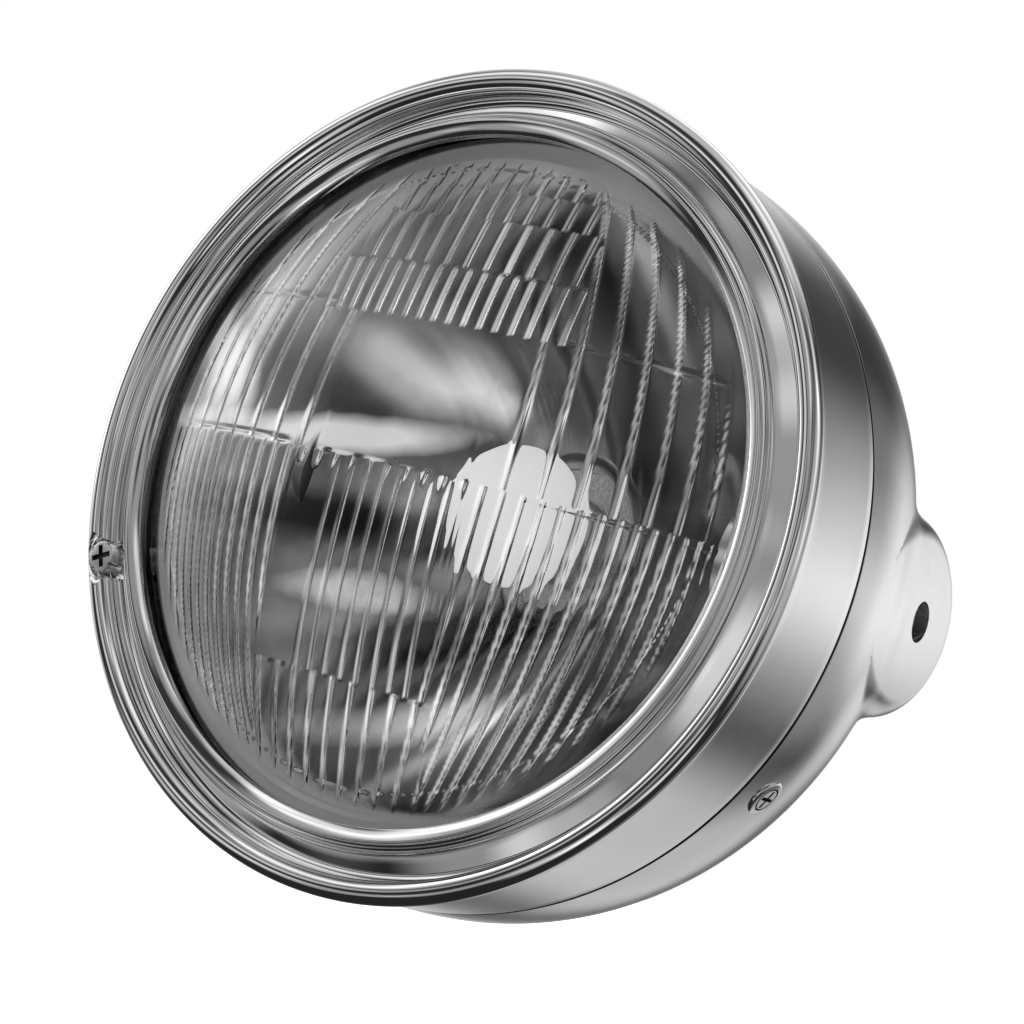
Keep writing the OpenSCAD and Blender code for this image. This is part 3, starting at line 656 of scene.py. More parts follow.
MATERIALS = {
    "rim_chrome": rim_chrome(),
    # The bowl's front gets painted shade at the seam with the rim
    "satin_chrome": metal("satin_chrome", 0.8, 0.86, (0.17, 0.21), 260.0,
                          seam=(behind(BOWL_FRONT + SEAM_SHADE_FROM), behind(BOWL_FRONT + SEAM_SHADE_FULL))),
    "screw_chrome": metal("screw_chrome", 0.86, 0.93, (0.36, 0.42), 900.0),
    # Painted shade for the screws' cross recesses and the ring in a flat head
    "recess_shade": metal("recess_shade", 0.1, 0.2, (0.4, 0.5), 900.0),
    "zinc": metal("zinc", (0.42, 0.43, 0.44), (0.62, 0.63, 0.64), (0.28, 0.42), 700.0, 120.0),
    "spring_steel": metal("spring_steel", (0.22, 0.23, 0.25), (0.38, 0.39, 0.41), (0.25, 0.4), 1200.0),
    "brass": metal("brass", (0.62, 0.46, 0.2), (0.78, 0.62, 0.32), (0.18, 0.3), 900.0),
    "bulb_metal": metal("bulb_metal", 0.5, 0.7, (0.2, 0.35), 900.0),
    "tungsten": metal("tungsten", 0.12, 0.2, (0.4, 0.6), 3000.0),
    "rubber": rubber("rubber"),
    "sealing_bead": rubber("sealing_bead", 0.3, 0.4),
    "lens_glass": clear_glass("lens_glass"),
    "opal_glass": opal_glass("opal_glass"),
    "reflector_silver": mirror_dish(),
}


# Rim

def smooth_corner(a, b, c, r, steps=5):
    """Points that round the corner b of the way a-b-c."""
    a, b, c = map(np.array, (a, b, c))
    u = (a - b) / np.linalg.norm(a - b)
    v = (c - b) / np.linalg.norm(c - b)
    p, q = b + u * r, b + v * r
    return [tuple((1 - t) ** 2 * p + 2 * t * (1 - t) * b + t * t * q) for t in np.linspace(0, 1, steps + 1)]


def between(a, b, shares):
    """Points on the straight way from a to b."""
    a, b = np.array(a), np.array(b)
    return [tuple(a + (b - a) * t) for t in shares]


def rim_front():
    """Outline of the rim's front from the lip's end over valley, fine line, band and bead to the skirt."""
    lip_end = (OPENING_R, LIP_END)
    line = [lip_end] + smooth_corner(lip_end, LIP_FOOT, LIP_BULGE, LIP_FOOT_ROUND)
    line += smooth_corner(LIP_FOOT, LIP_BULGE, LIP_TOP, LIP_ROUND, 14)
    line += smooth_corner(line[-1], LIP_TOP, VALLEY, LIP_TOP_ROUND, 10)
    line += smooth_corner(line[-1], VALLEY, LINE_FOOT, VALLEY_ROUND)
    line += arc(LINE_MID, LINE_R, *LINE_ARC, 8)
    line += smooth_corner(line[-1], LINE_BACK, BAND_INNER, LINE_ROUND)
    line += smooth_corner(BAND_GROOVE, BAND_INNER, BAND_OUTER, BAND_INNER_ROUND)
    line += between(BAND_INNER, BAND_OUTER, (0.3, 0.6, 0.88))
    line += smooth_corner(line[-1], BAND_OUTER, BEAD_FOOT, BAND_OUTER_ROUND)
    line += arc(BEAD_MID, BEAD_R, *BEAD_ARC, 52)
    line += smooth_corner(line[-1], SKIRT_FRONT, SKIRT_BACK, SKIRT_FRONT_ROUND)
    return line


def rim_rear():
    """Outline of the sheet's plainer back, from the skirt's end to the lip's."""
    lip_mid = (OPENING_R + LIP_R, LIP_R - CREST)
    return ([(SKIRT_BACK[0] - SHEET, SKIRT_BACK[1] - 0.05)]
            + [(SKIRT_FRONT[0] - SHEET, SKIRT_FRONT[1] + 0.4)]
            + arc(BEAD_MID, BEAD_R - SHEET, 405, 155, 14)
            + [(BAND_OUTER[0] - 0.1, BAND_OUTER[1] + SHEET), (BAND_INNER[0] - 1.7, BAND_INNER[1] + SHEET)]
            + arc(lip_mid, LIP_R - SHEET, 330, 180, 8)
            + [(OPENING_R + SHEET, LIP_END)])


def rim_mesh():
    """The turned sheet, with a cup let into it at the adjuster."""
    front = rim_front()
    skirt = between(SKIRT_FRONT, SKIRT_BACK, (0.1, 0.3, 0.5, 0.7, 0.9))
    skirt += arc((SKIRT_BACK[0] - SKIRT_ROUND, SKIRT_BACK[1] - SKIRT_ROUND), SKIRT_ROUND, 0, 75, 5)
    whole = front + skirt + rim_rear()
    floor = NOTCH_DEPTH + SHEET
    filled = closed_turned("filled", front[:-4] + [(NOTCH_FILL_R, floor), (OPENING_R + 0.2, floor)], 360)
    at_notch = place(ADJUSTER_OUT, 0, ADJUSTER_ANGLE)
    cup = carve(rod_mesh("cup", NOTCH_R + SHEET, -CREST - 1, floor, at_notch), [("INTERSECT", filled)])
    flare = [(0.0, NOTCH_DEPTH)] + list(NOTCH) + [(0.0, NOTCH[-1][1])]
    pocket = turned_about("pocket", flare, 128, at_notch)
    bore = rod_mesh("bore", ADJUSTER_BORE_R, 0, floor + 1, at_notch)
    mesh = carve(closed_turned("rim", whole, 360),
                 [("UNION", cup), ("DIFFERENCE", pocket), ("DIFFERENCE", bore)])
    true_turned(mesh, whole)
    return mesh


# Bowl

def bowl_radius(depth):
    front = BOWL_R - (BOWL_R - SEAM_R) * ((BOWL_WIDE - depth) / (BOWL_WIDE - BOWL_FRONT)) ** 2
    back = BOWL_R * np.sqrt(np.maximum(1e-9, 1 - ((depth - BOWL_WIDE) / BOWL_BACK) ** 2))
    return np.where(depth < BOWL_WIDE, front, back)


def body_distance(p):
    """About the distance to the bowl's round body, negative inside it."""
    r = np.hypot(p[:, 0], p[:, 2])
    d = p[:, 1]
    a = np.where(d < BOWL_WIDE, 1e3, (d - BOWL_WIDE) / BOWL_BACK)
    b = r / BOWL_R
    k = np.sqrt(a * a + b * b)
    grad = np.sqrt((a / BOWL_BACK) ** 2 + (b / BOWL_R) ** 2) / np.maximum(k, 1e-9)
    return np.where(d < BOWL_WIDE, r - bowl_radius(d), (k - 1) / np.maximum(grad, 1e-9))


def boss_distance(p):
    """The same for the two bosses, turned about the bolts' axis."""
    along = p[:, 1] - BOLT_BACK
    rho = np.hypot(np.where(along < 0, along * BOSS_NOSE, along), p[:, 2])
    face = bowl_radius(np.minimum(p[:, 1], BOWL_WIDE)) - BOSS_FALL * (
        np.maximum(p[:, 1] - BOWL_WIDE, 0) / (2 * BOSS_R)) ** 2
    u = rho - (BOSS_R - BOSS_EDGE)
    v = np.hypot(p[:, 0], p[:, 2]) - (face - BOSS_EDGE)
    return np.hypot(np.maximum(u, 0), np.maximum(v, 0)) + np.minimum(np.maximum(u, v), 0) - BOSS_EDGE


def blended(p, soft):
    """Body and bosses run together over a fillet of that size."""
    a, b = body_distance(p), boss_distance(p)
    own = soft * ease(FILLET_FROM, FILLET_FULL, p[:, 1]) + 1e-6
    h = np.maximum(own - np.abs(a - b), 0) / own
    return np.minimum(a, b) - h * h * own * 0.25


def slope(p, soft, e=0.02):
    g = np.zeros_like(p)
    for k in range(3):
        q = p.copy()
        q[:, k] += e
        w = p.copy()
        w[:, k] -= e
        g[:, k] = blended(q, soft) - blended(w, soft)
    return g / np.maximum(np.linalg.norm(g, axis=1, keepdims=True), 1e-9)


def bowl_curve(sweep, wall=0.0):
    """Points of the bowl's round back as far as the inlet's hole, on its outside or a wall further in."""
    r, reach = BOWL_R - wall, BOWL_BACK - wall
    line = [(r * math.cos(a), BOWL_WIDE + reach * math.sin(a)) for a in sweep
            if r * math.cos(a) > INLET_R + 0.6]
    return line + [(INLET_R, BOWL_WIDE + reach * math.sqrt(1 - (INLET_R / r) ** 2))]


def bowl_shell():
    """The bowl without its bosses: outside from the seam to the inlet, then the sheet's inside."""
    sweep = np.radians(np.linspace(0, 90, 58))[1:]
    edge_r = float(bowl_radius(np.array(SEAM_BACK)))
    outline = arc((edge_r - SEAM_ROUND, BOWL_FRONT + SEAM_ROUND), SEAM_ROUND, -90, -15, 5)
    outline += [(float(bowl_radius(np.array(d))), d) for d in np.linspace(SEAM_BACK, BOWL_WIDE, 10)]
    outline += bowl_curve(sweep)
    inner = [(SEAM_R - 1.6, BOWL_FRONT)]
    inner += [(float(bowl_radius(np.array(d))) - BOWL_SHEET, d)
              for d in np.linspace(BOWL_FRONT + 2, BOWL_WIDE, 4)]
    inner += bowl_curve(sweep[::2], BOWL_SHEET)
    return closed_turned("bowl", outline + inner[::-1], 360)


def bowl_steps():
    """What is joined to the bowl and cut from it: two bosses with their holes, and the screws' holes."""
    profile = [(0.0, BOSS_FOOT), (BOSS_R, BOSS_FOOT)]
    profile += [(BOSS_R, x) for x in np.linspace(BOSS_FOOT + 2, BOSS_FACE, 34)]
    profile += [(r, BOSS_FACE + 0.3) for r in np.linspace(BOSS_R - 0.3, 0, 48)]
    steps = []
    for side in (1, -1):
        boss = about_bolts("boss", profile, side)
        for vertex in boss.vertices:
            ahead = min(vertex.co.y, 0.0)
            vertex.co.y += ahead / BOSS_NOSE - ahead
        steps.append(("UNION", boss))
    for side in (0, 180):
        cut = clock(side) @ Matrix.Rotation(-math.pi / 2, 4, "Z")
        hole = rod_mesh("hole", BOSS_HOLE, BOSS_HOLE_FROM, BOSS_HOLE_TO, cut, 96)
        inside = rod_mesh("inside", BOSS_INSIDE_R, BOSS_HOLE_FROM, BOSS_INSIDE_TO, cut, 96)
        steps += [("DIFFERENCE", hole), ("DIFFERENCE", inside)]
    for angle in (-SCREW_ANGLE, 180 + SCREW_ANGLE):
        seat = place(0, SCREW_DEPTH, angle) @ Matrix.Rotation(-math.pi / 2, 4, "Z")
        hole = rod_mesh("screw_hole", SCREW_HOLE_R, SCREW_HOLE_FROM, SCREW_HOLE_TO, seat)
        steps.append(("DIFFERENCE", hole))
    return steps


def bowl_mesh(soft=BOSS_FILLET):
    """The bowl's outside follows one blended form; behind it the sheet's inside is plain. Points near the
    outside are drawn onto that form, but for those on the seam's edge and at the inlet."""
    mesh = carve(bowl_shell(), bowl_steps())
    p = mesh_points(mesh)
    away = blended(p, 1e-6)
    near = (body_distance(p) > -0.3) & (away > -3) & (away < 9)
    near &= (p[:, 1] > SEAM_BACK + 0.3) & (np.hypot(p[:, 0], p[:, 2]) > INLET_R + 0.3)
    q = p[near]
    for _ in range(9):
        q = q - slope(q, soft) * blended(q, soft)[:, None]
    p[near] = q
    wide = np.maximum(np.hypot(p[:, 0], p[:, 2]) / BOWL_R, 1)
    p[:, 0] /= wide
    p[:, 2] /= wide
    mesh.vertices.foreach_set("co", metres(p).ravel())
    mesh.update()
    mid, normal, face, point = face_data(mesh)
    outside = (np.abs(blended(mid, soft)) < 0.3) & (np.sum(slope(mid, soft) * normal, axis=1) > 0.8)
    corners = outside[face] & near[point]
    set_corners(mesh, corners, slope(p, soft)[point[corners]])
    return mesh


# Lens

OUT_R = (OPENING_R ** 2 + LENS_DOME ** 2) / (2 * LENS_DOME)
MID_DEPTH = LENS_SET - LENS_DOME + OUT_R
IN_R = OUT_R - GLASS

# Straight rows of flutes above the lens's middle: lowest and highest z, left and right x, width of a flute,
# and a rib's place
ROWS = (
    (74.5, 82.0, -60.0, 60.0, 4.5, 0.0),
    (68.5, 74.5, -27.0, 25.0, 4.95, -0.2),
    (60.5, 68.5, -29.0, 27.0, 5.2, 0.0),
    (47.0, 60.5, -33.0, 31.0, 5.75, 0.5),
    (33.0, 47.0, -36.0, 33.0, 4.25, 2.5),
)
# Long flutes turned about the upright axis: place of one and pitch above and below the step, in degrees
LONG_AT, LONG_PITCH_ABOVE, LONG_PITCH_BELOW = 13.6, 6.4, 3.4
LONG_HIGH, LONG_RIB = 0.4, 0.5
# Radius on which they are spaced, and radius of the upright circle along which they draw together
LONG_R, LONG_CIRCLE = 88.0, 96.0
ROW_HIGH, ROW_RIB, ROW_CROWN = 0.42, 0.55, 0.1
# Zones of other glass: where each fades in and out, upwards and to the right
SMOOTH_UP, SMOOTH_ACROSS = ((-1.9, -1.1), (32.6, 33.4)), ((-22.0, -20.5), (19.0, 32.0))
CORE_UP, CORE_ACROSS = ((-51.6, -50.8), (-6.5, -1.9)), ((-28.2, -27.2), (20.0, 23.0))
FOOT_UP, FOOT_ACROSS = ((-99.0, -98.0), CORE_UP[0]), ((-27.0, -24.0), (22.0, 26.0))
# Narrow flutes of the core, and the fan of flutes at the foot: height, rib's half width, width, place
CORE_FLUTE = (0.34, 0.42, 4.55, -0.3)
CORE_FLUTES_FROM = (-15.5, -14.5)
FOOT_FLUTE = (0.42, 0.55, 5.8, -2.5)
FOOT_FAN, FOOT_MID, FOOT_HALF = 0.14, -64.0, 13.0
FOOT_FAN_OVER = (-51, -80)
# Two low steps run across the outer glass: heights above the lamp's axis, slant, half width, height
STEPS_UP = (-1.5, 34.5)
STEP_SLANT, STEP_HALF, STEP_HIGH = 0.02, 0.5, 0.25
STEP_FROM = (30, 34)
# How far the glass of the fluted field is thicker than the plain border round it
FIELD_HIGH = 0.3


def ribs(d, width, w):
    """A narrow rounded rib between wide, slightly hollow flutes, by distance along the row."""
    s = (d / width + 0.5) % 1.0 - 0.5
    e = np.abs(s) * width
    return np.exp(-(e / w) ** 2) + HOLLOW * width * (1 - 2 * np.abs(s)) ** 2


def fade(v, rise, fall):
    """0 outside two borders and 1 between them."""
    return ease(*rise, v) * (1 - ease(*fall, v))


def flute_height(x, z):
    """How far the flutes stand out of the inside of the glass, in millimetres."""
    r = np.hypot(x, z)
    lean = np.sqrt(np.maximum(1 - (z / LONG_CIRCLE) ** 2, 0.05))
    angle = np.degrees(np.arcsin(np.clip(x / lean / LONG_R, -0.999, 0.999)))
    pitch = np.where(z > STEPS_UP[0], LONG_PITCH_ABOVE, LONG_PITCH_BELOW)
    h = LONG_HIGH * ribs(angle - LONG_AT, pitch, LONG_RIB)
    for low, high, left, right, width, at in ROWS:
        inside = (fade(z, (low - 0.35, low + 0.35), (high - 0.35, high + 0.35))
                  * fade(x, (left - 0.4, left + 0.4), (right - 0.4, right + 0.4)))
        crown = ((z - low) / (high - low) * 2 - 1) ** 2
        h = h * (1 - inside) + (ROW_HIGH * ribs(x - at, width, ROW_RIB) + ROW_CROWN * crown) * inside
    smooth = fade(z, *SMOOTH_UP) * fade(x, *SMOOTH_ACROSS)
    h = h * (1 - smooth) + 0.05 * smooth
    core = fade(z, *CORE_UP) * fade(x, *CORE_ACROSS)
    high, rib, width, at = CORE_FLUTE
    fine = high * ribs(x - at, width, rib) * ease(*CORE_FLUTES_FROM, x) + 0.06
    h = h * (1 - core) + fine * core
    foot = fade(z, *FOOT_UP) * fade(x, *FOOT_ACROSS)
    high, rib, width, at = FOOT_FLUTE
    fan = x / (1 - FOOT_FAN * ease(*FOOT_FAN_OVER, z))
    low = high * ribs(fan - at, width, rib) + 0.08 * ((z - FOOT_MID) / FOOT_HALF) ** 2
    h = h * (1 - foot) + low * foot
    outer = ease(*STEP_FROM, np.abs(x))
    for up in STEPS_UP:
        h = h + np.exp(-((z - up + STEP_SLANT * x) / STEP_HALF) ** 2) * STEP_HIGH * outer
    ends = 1 - ease(FIELD_R - 0.3, RIB_END_R, r)
    return h * ends + FIELD_HIGH * (1 - ease(FIELD_R - 0.25, FIELD_R + 0.25, r))


NET_ACROSS, NET_UP = 357, 233
NET_END = 84.0
DOME_STEPS = 192
LENS_CHAMFER = 0.6
LENS_SHARP = math.radians(45)


def lens_net(bm):
    """The fluted inside as one fine net of points; its outermost points are drawn onto a circle."""
    xs, zs = np.linspace(-NET_END, NET_END, NET_ACROSS), np.linspace(-NET_END, NET_END, NET_UP)
    X, Z = np.meshgrid(xs, zs, indexing="ij")
    R = np.hypot(X, Z)
    keep = R < LENS_INNER_R - 0.35
    cells = keep[:-1, :-1] & keep[1:, :-1] & keep[1:, 1:] & keep[:-1, 1:]
    used = np.zeros_like(keep)
    amid = np.ones_like(keep)
    padded = np.pad(cells, 1)
    for di in (0, 1):
        for dj in (0, 1):
            used[di:di + cells.shape[0], dj:dj + cells.shape[1]] |= cells
            amid &= padded[di:di + keep.shape[0], dj:dj + keep.shape[1]]
    edge = used & ~amid
    X = np.where(edge, X / np.maximum(R, 1e-6) * LENS_INNER_R, X)
    Z = np.where(edge, Z / np.maximum(R, 1e-6) * LENS_INNER_R, Z)
    depth = MID_DEPTH - np.sqrt(IN_R ** 2 - np.hypot(X, Z) ** 2) + flute_height(X, Z)
    index = -np.ones(keep.shape, int)
    index[used] = np.arange(used.sum())
    verts = [bm.verts.new(p) for p in metres(np.column_stack([X[used], depth[used], Z[used]]))]
    i, j = np.nonzero(cells)
    for f in np.column_stack([index[i, j], index[i + 1, j], index[i + 1, j + 1], index[i, j + 1]]):
        bm.faces.new([verts[k] for k in f])
    return [e for e in bm.edges if e.is_boundary]


def lens_dome(bm):
    """The smooth outside and the edge that the glass is held by, closed at the dome's tip."""
    def dome_depth(r):
        return MID_DEPTH - math.sqrt(OUT_R ** 2 - r * r)

    outline = [(LENS_INNER_R, LENS_EDGE_DEPTH), (LENS_EDGE_R - LENS_CHAMFER, LENS_EDGE_DEPTH),
               (LENS_EDGE_R, LENS_EDGE_DEPTH - LENS_CHAMFER), (LENS_EDGE_R, dome_depth(LENS_EDGE_R) + 0.5),
               (LENS_EDGE_R - 0.4, dome_depth(LENS_EDGE_R) - 0.05)]
    outline += [(r, dome_depth(r)) for r in np.linspace(LENS_EDGE_R - 1.2, 0.8, 40)]
    points, faces = turned(outline, DOME_STEPS, closed=False)
    dome = [bm.verts.new(p) for p in points]
    for f in faces:
        bm.faces.new([dome[k] for k in f])
    n = len(outline)
    tip = bm.verts.new(metres([(0, MID_DEPTH - OUT_R, 0)])[0])
    ring = []
    for k in range(DOME_STEPS):
        a, b = k * n, (k + 1) % DOME_STEPS * n
        bm.faces.new([dome[a + n - 1], dome[b + n - 1], tip])
        ring.append((dome[a], dome[b]))
    bm.edges.ensure_lookup_table()
    return [bm.edges.get(pair) for pair in ring]


def lens_mesh():
    """Smooth dome in front, flutes behind."""
    bm = bmesh.new()
    net_edge = lens_net(bm)
    bmesh.ops.bridge_loops(bm, edges=net_edge + lens_dome(bm))
    bmesh.ops.recalc_face_normals(bm, faces=bm.faces)
    mesh = from_bmesh("lens", bm)
    mesh.shade_smooth()
    mesh.set_sharp_from_angle(angle=LENS_SHARP)
    bend_light(mesh)
    return mesh


# Slopes of the flutes over which the ribs' painted glint grows
GLINT_FROM, GLINT_TO = 0.22, 0.5


def bend_light(mesh):
    """Gives the glass the exact slope of its dome and of its flutes, and marks the ribs' steep sides, which
    get a painted glint."""
    x, d, z = mesh_points(mesh).T
    r = np.hypot(x, z)
    front = (np.abs(np.hypot(r, d - MID_DEPTH) - OUT_R) < 0.01) & (r < LENS_EDGE_R - 0.5)
    back = (r < LENS_INNER_R - 0.8) & ~front
    e = 0.04
    gx = (flute_height(x + e, z) - flute_height(x - e, z)) / (2 * e)
    gz = (flute_height(x, z + e) - flute_height(x, z - e)) / (2 * e)
    root = np.sqrt(np.maximum(IN_R ** 2 - r * r, 1))
    inside = np.column_stack([-(x / root + gx), np.ones_like(x), -(z / root + gz)])
    slopes = np.where(front[:, None], np.column_stack([x, d - MID_DEPTH, z]), inside)
    corner = np.zeros(len(mesh.loops), int)
    mesh.loops.foreach_get("vertex_index", corner)
    known = (front | back)[corner]
    set_corners(mesh, known, slopes[corner[known]])
    # Marks where the glass gets its painted glint
    painted_glint = mesh.attributes.new("painted_glint", "FLOAT", "POINT")
    painted_glint.data.foreach_set("value", (ease(GLINT_FROM, GLINT_TO, gx) * back).astype(np.float32))


# Behind the glass, and the screws

FOCAL = 27.0
MIRROR_R = 84.0
MIRROR_END = 74.333
FLANGE_R = 90.0
SEAT_R = 23.0
BULB_OPENING_R = 19.0
NECK_R = 25.0
NECK_LEN = 9.0
MIRROR_SHEET = 0.8


def mirror_depth(r):
    return MIRROR_END - r * r / (4 * FOCAL)


def reflector_mesh():
    """Dished mirror with a flange in front and a neck for the bulb behind."""
    radii = np.linspace(MIRROR_R, SEAT_R, 64)
    front = [(FLANGE_R, mirror_depth(MIRROR_R))] + [(r, mirror_depth(r)) for r in radii]
    seat = mirror_depth(SEAT_R)
    inner = NECK_R - MIRROR_SHEET
    neck = [(BULB_OPENING_R, seat), (BULB_OPENING_R, seat + MIRROR_SHEET), (inner, seat + MIRROR_SHEET),
            (inner, seat + NECK_LEN), (NECK_R, seat + NECK_LEN),
            (NECK_R, mirror_depth(NECK_R) + MIRROR_SHEET)]
    flange_back = mirror_depth(MIRROR_R) + MIRROR_SHEET
    back = [(r + MIRROR_SHEET * 0.75, mirror_depth(r) + MIRROR_SHEET) for r in radii[::-2]]
    back = [p for p in back if p[0] > NECK_R + 1 and p[1] > flange_back + 0.1]
    outline = front + neck + back + [(MIRROR_R + MIRROR_SHEET, flange_back), (FLANGE_R, flange_back)]
    mesh = closed_turned("reflector", outline, 240)
    true_turned(mesh, outline)
    return mesh


BUSH_SEAT = 97.947
BUSH_LEN = 14.0
BUSH_FLANGE_R = 12.0
BUSH_FLANGE = 3.0
BOLT_R = 5.0
BOLT_PITCH = 1.25
BOLT_RIDGE = 0.62
BUSH_TUBE_R = BUSH_FLANGE_R * 0.7
BUSH_CHAMFER = 0.5
THREAD_END = 1.2


def bush_mesh(side, tree, material):
    """Tapped bush behind a boss: its bore has a real thread, one screw line round the bolts' axis."""
    back, mouth_r = BUSH_SEAT - BUSH_LEN, BOLT_R + BUSH_CHAMFER
    profile = [(BOLT_R, back + BUSH_CHAMFER), (mouth_r, back), (BUSH_TUBE_R, back),
               (BUSH_TUBE_R, BUSH_SEAT - BUSH_FLANGE), (BUSH_FLANGE_R, BUSH_SEAT - BUSH_FLANGE),
               (BUSH_FLANGE_R, BUSH_SEAT), (mouth_r, BUSH_SEAT), (BOLT_R, BUSH_SEAT - BUSH_CHAMFER)]
    body = about_bolts("bush", profile, side, 96, closed=True)
    body.set_sharp_from_angle(angle=SHARP)
    start = Matrix.Translation(Vector((back + THREAD_END, 0, 0)) * MM)
    turn = Matrix.Rotation(math.pi if side < 0 else 0, 4, "Z")
    thread = thread_mesh(tree, BOLT_R + 0.02, BUSH_LEN - 2 * THREAD_END, BOLT_PITCH, BOLT_RIDGE, material,
                         turn @ start)
    return joined("bush", [body, thread])


SCREW_OUT = 100.15
SCREW_HEAD = 0.7
SCREW_R = 4.8
SCREW_SHANK_R = 2.5
SCREW_SHANK = 88.0
SCREW_DEPTH = 41.5
SCREW_ANGLE = 29.8
SCREW_CROSS, SCREW_CROSS_WIDTH, SCREW_CROSS_FLOOR = 2.5, 0.9, 0.4
# The fine ring turned into the flat head: its inner and outer radius, its slope and its depth
RING_IN, RING_OUT, RING_SLOPE, RING_DEEP = 2.85, 3.35, 0.1, 0.3


def cross_recess(name, half, width, bottom, top, matrix):
    """Two crossed bars that cut a cross recess; the matrix's depth runs along the screw."""
    a = box_mesh(name, (-half, bottom, -width / 2), (half, top, width / 2), matrix)
    b = box_mesh(name, (-width / 2, bottom, -half), (width / 2, top, half), matrix)
    return [("DIFFERENCE", a), ("DIFFERENCE", b)]


def dark_recess(piece, matrix, half, top):
    """The faces of a screw's cross recess get painted shade."""
    piece.data.materials.append(MATERIALS["recess_shade"])
    back = matrix.inverted()
    for face in piece.data.polygons:
        spot = back @ face.center / MM
        if max(abs(spot.x), abs(spot.z)) < half + 0.02 and top + 0.02 < spot.y < top + 2.5:
            face.material_index = 1


def screw_mesh(outline, matrix, cuts, steps=96):
    """A turned screw of (radius, depth) along its own axis, with the recess cut in its head."""
    return carve(outward(turned_about("screw", outline, steps, matrix)), cuts)


def rim_screw_place(angle):
    return place(SCREW_OUT, SCREW_DEPTH, angle) @ Matrix.Rotation(math.pi / 2, 4, "Z")


def rim_screw_mesh(angle):
    """Flat head with a fine ring turned into its face and a cross recess inside the ring."""
    top = -SCREW_HEAD
    end = SCREW_OUT - SCREW_SHANK
    outline = [(0.0, top), (RING_IN, top), (RING_IN + RING_SLOPE, top + RING_DEEP),
               (RING_OUT - RING_SLOPE, top + RING_DEEP), (RING_OUT, top), (SCREW_R - 0.7, top + 0.03),
               (SCREW_R - 0.35, top + 0.14), (SCREW_R - 0.1, top + 0.35), (SCREW_R, 0.0),
               (SCREW_SHANK_R, 0.0), (SCREW_SHANK_R, end), (0.0, end)]
    at = rim_screw_place(angle)
    cross = cross_recess("recess", SCREW_CROSS, SCREW_CROSS_WIDTH, top - 1, SCREW_CROSS_FLOOR, at)
    return screw_mesh(outline, at, cross)


def dark_ring(piece, matrix):
    """The faces of the ring in a flat head get the same painted shade as its recess."""
    back = matrix.inverted()
    for face in piece.data.polygons:
        spot = back @ face.center / MM
        if RING_IN - 0.01 < math.hypot(spot.x, spot.z) < RING_OUT + 0.01 and spot.y < 0:
            face.material_index = 1


ADJUSTER_FRONT = -4.4
ADJUSTER_HEAD = 3.2
ADJUSTER_R = 3.9
ADJUSTER_NECK_R = 2.8
ADJUSTER_THREAD_R = 2.0
ADJUSTER_END = 20.0
ADJUSTER_CROSS, ADJUSTER_CROSS_WIDTH, ADJUSTER_CROSS_FLOOR = 2.85, 1.35, 1.3
ADJUSTER_PITCH, ADJUSTER_RIDGE = 0.8, 0.3


def adjuster_mesh(tree, material):
    """Cross-head screw of the aim adjuster, with a thread behind the notch's floor."""
    front, r, back = ADJUSTER_FRONT, ADJUSTER_R, ADJUSTER_FRONT + ADJUSTER_HEAD
    core, thread_r = ADJUSTER_THREAD_R - 0.3, ADJUSTER_THREAD_R
    outline = [(0.0, front), (r - 0.45, front), (r - 0.12, front + 0.12), (r, front + 0.45), (r, back - 0.2),
               (r - 0.2, back), (ADJUSTER_NECK_R, back), (ADJUSTER_NECK_R, NOTCH_DEPTH),
               (thread_r, NOTCH_DEPTH), (thread_r, NOTCH_DEPTH + 1.4), (core, NOTCH_DEPTH + 1.8),
               (core, ADJUSTER_END - 0.8), (core - 0.6, ADJUSTER_END), (0.0, ADJUSTER_END)]
    at = place(ADJUSTER_OUT, 0, ADJUSTER_ANGLE)
    cross = cross_recess("recess", ADJUSTER_CROSS, ADJUSTER_CROSS_WIDTH, front - 1,
                         front + ADJUSTER_CROSS_FLOOR, at)
    start = Matrix.Translation(Vector((0, NOTCH_DEPTH + 2.2, 0)) * MM) @ Matrix.Rotation(math.pi / 2, 4, "Z")
    thread = thread_mesh(tree, core - 0.02, ADJUSTER_END - NOTCH_DEPTH - 3.6, ADJUSTER_PITCH, ADJUSTER_RIDGE,
                         material, at @ start, 32)
    return joined("adjuster", [screw_mesh(outline, at, cross), thread])


# Assembling

make_piece("rim_shell", rim_mesh(), MATERIALS["rim_chrome"], "housing", ["rim"])
make_piece("bowl_shell", bowl_mesh(), MATERIALS["satin_chrome"], "housing", ["bowl"])
make_piece("fluted_lens", lens_mesh(), MATERIALS["lens_glass"], "light_unit", ["lens"])
make_piece("mirror_dish", reflector_mesh(), MATERIALS["reflector_silver"], "light_unit",
           ["reflector"])
RIDGE = ridge_tree()
for word, side in (("right", 1), ("left", -1)):
    make_piece(word + "_tapped_bush", bush_mesh(side, RIDGE, MATERIALS["zinc"]), MATERIALS["zinc"],
               "housing", [word + "_mount_bush"])
    angle = -SCREW_ANGLE if side > 0 else 180 + SCREW_ANGLE
    flat = make_piece(word + "_flat_screw", rim_screw_mesh(angle), MATERIALS["satin_chrome"], "housing",
                      [word + "_rim_screw"])
    dark_recess(flat, rim_screw_place(angle), SCREW_CROSS, -SCREW_HEAD)
    dark_ring(flat, rim_screw_place(angle))
turner = make_piece("cross_head_adjuster", adjuster_mesh(RIDGE, MATERIALS["screw_chrome"]),
                    MATERIALS["screw_chrome"], "adjuster", ["adjuster_screw"])
dark_recess(turner, place(ADJUSTER_OUT, 0, ADJUSTER_ANGLE), ADJUSTER_CROSS, ADJUSTER_FRONT)

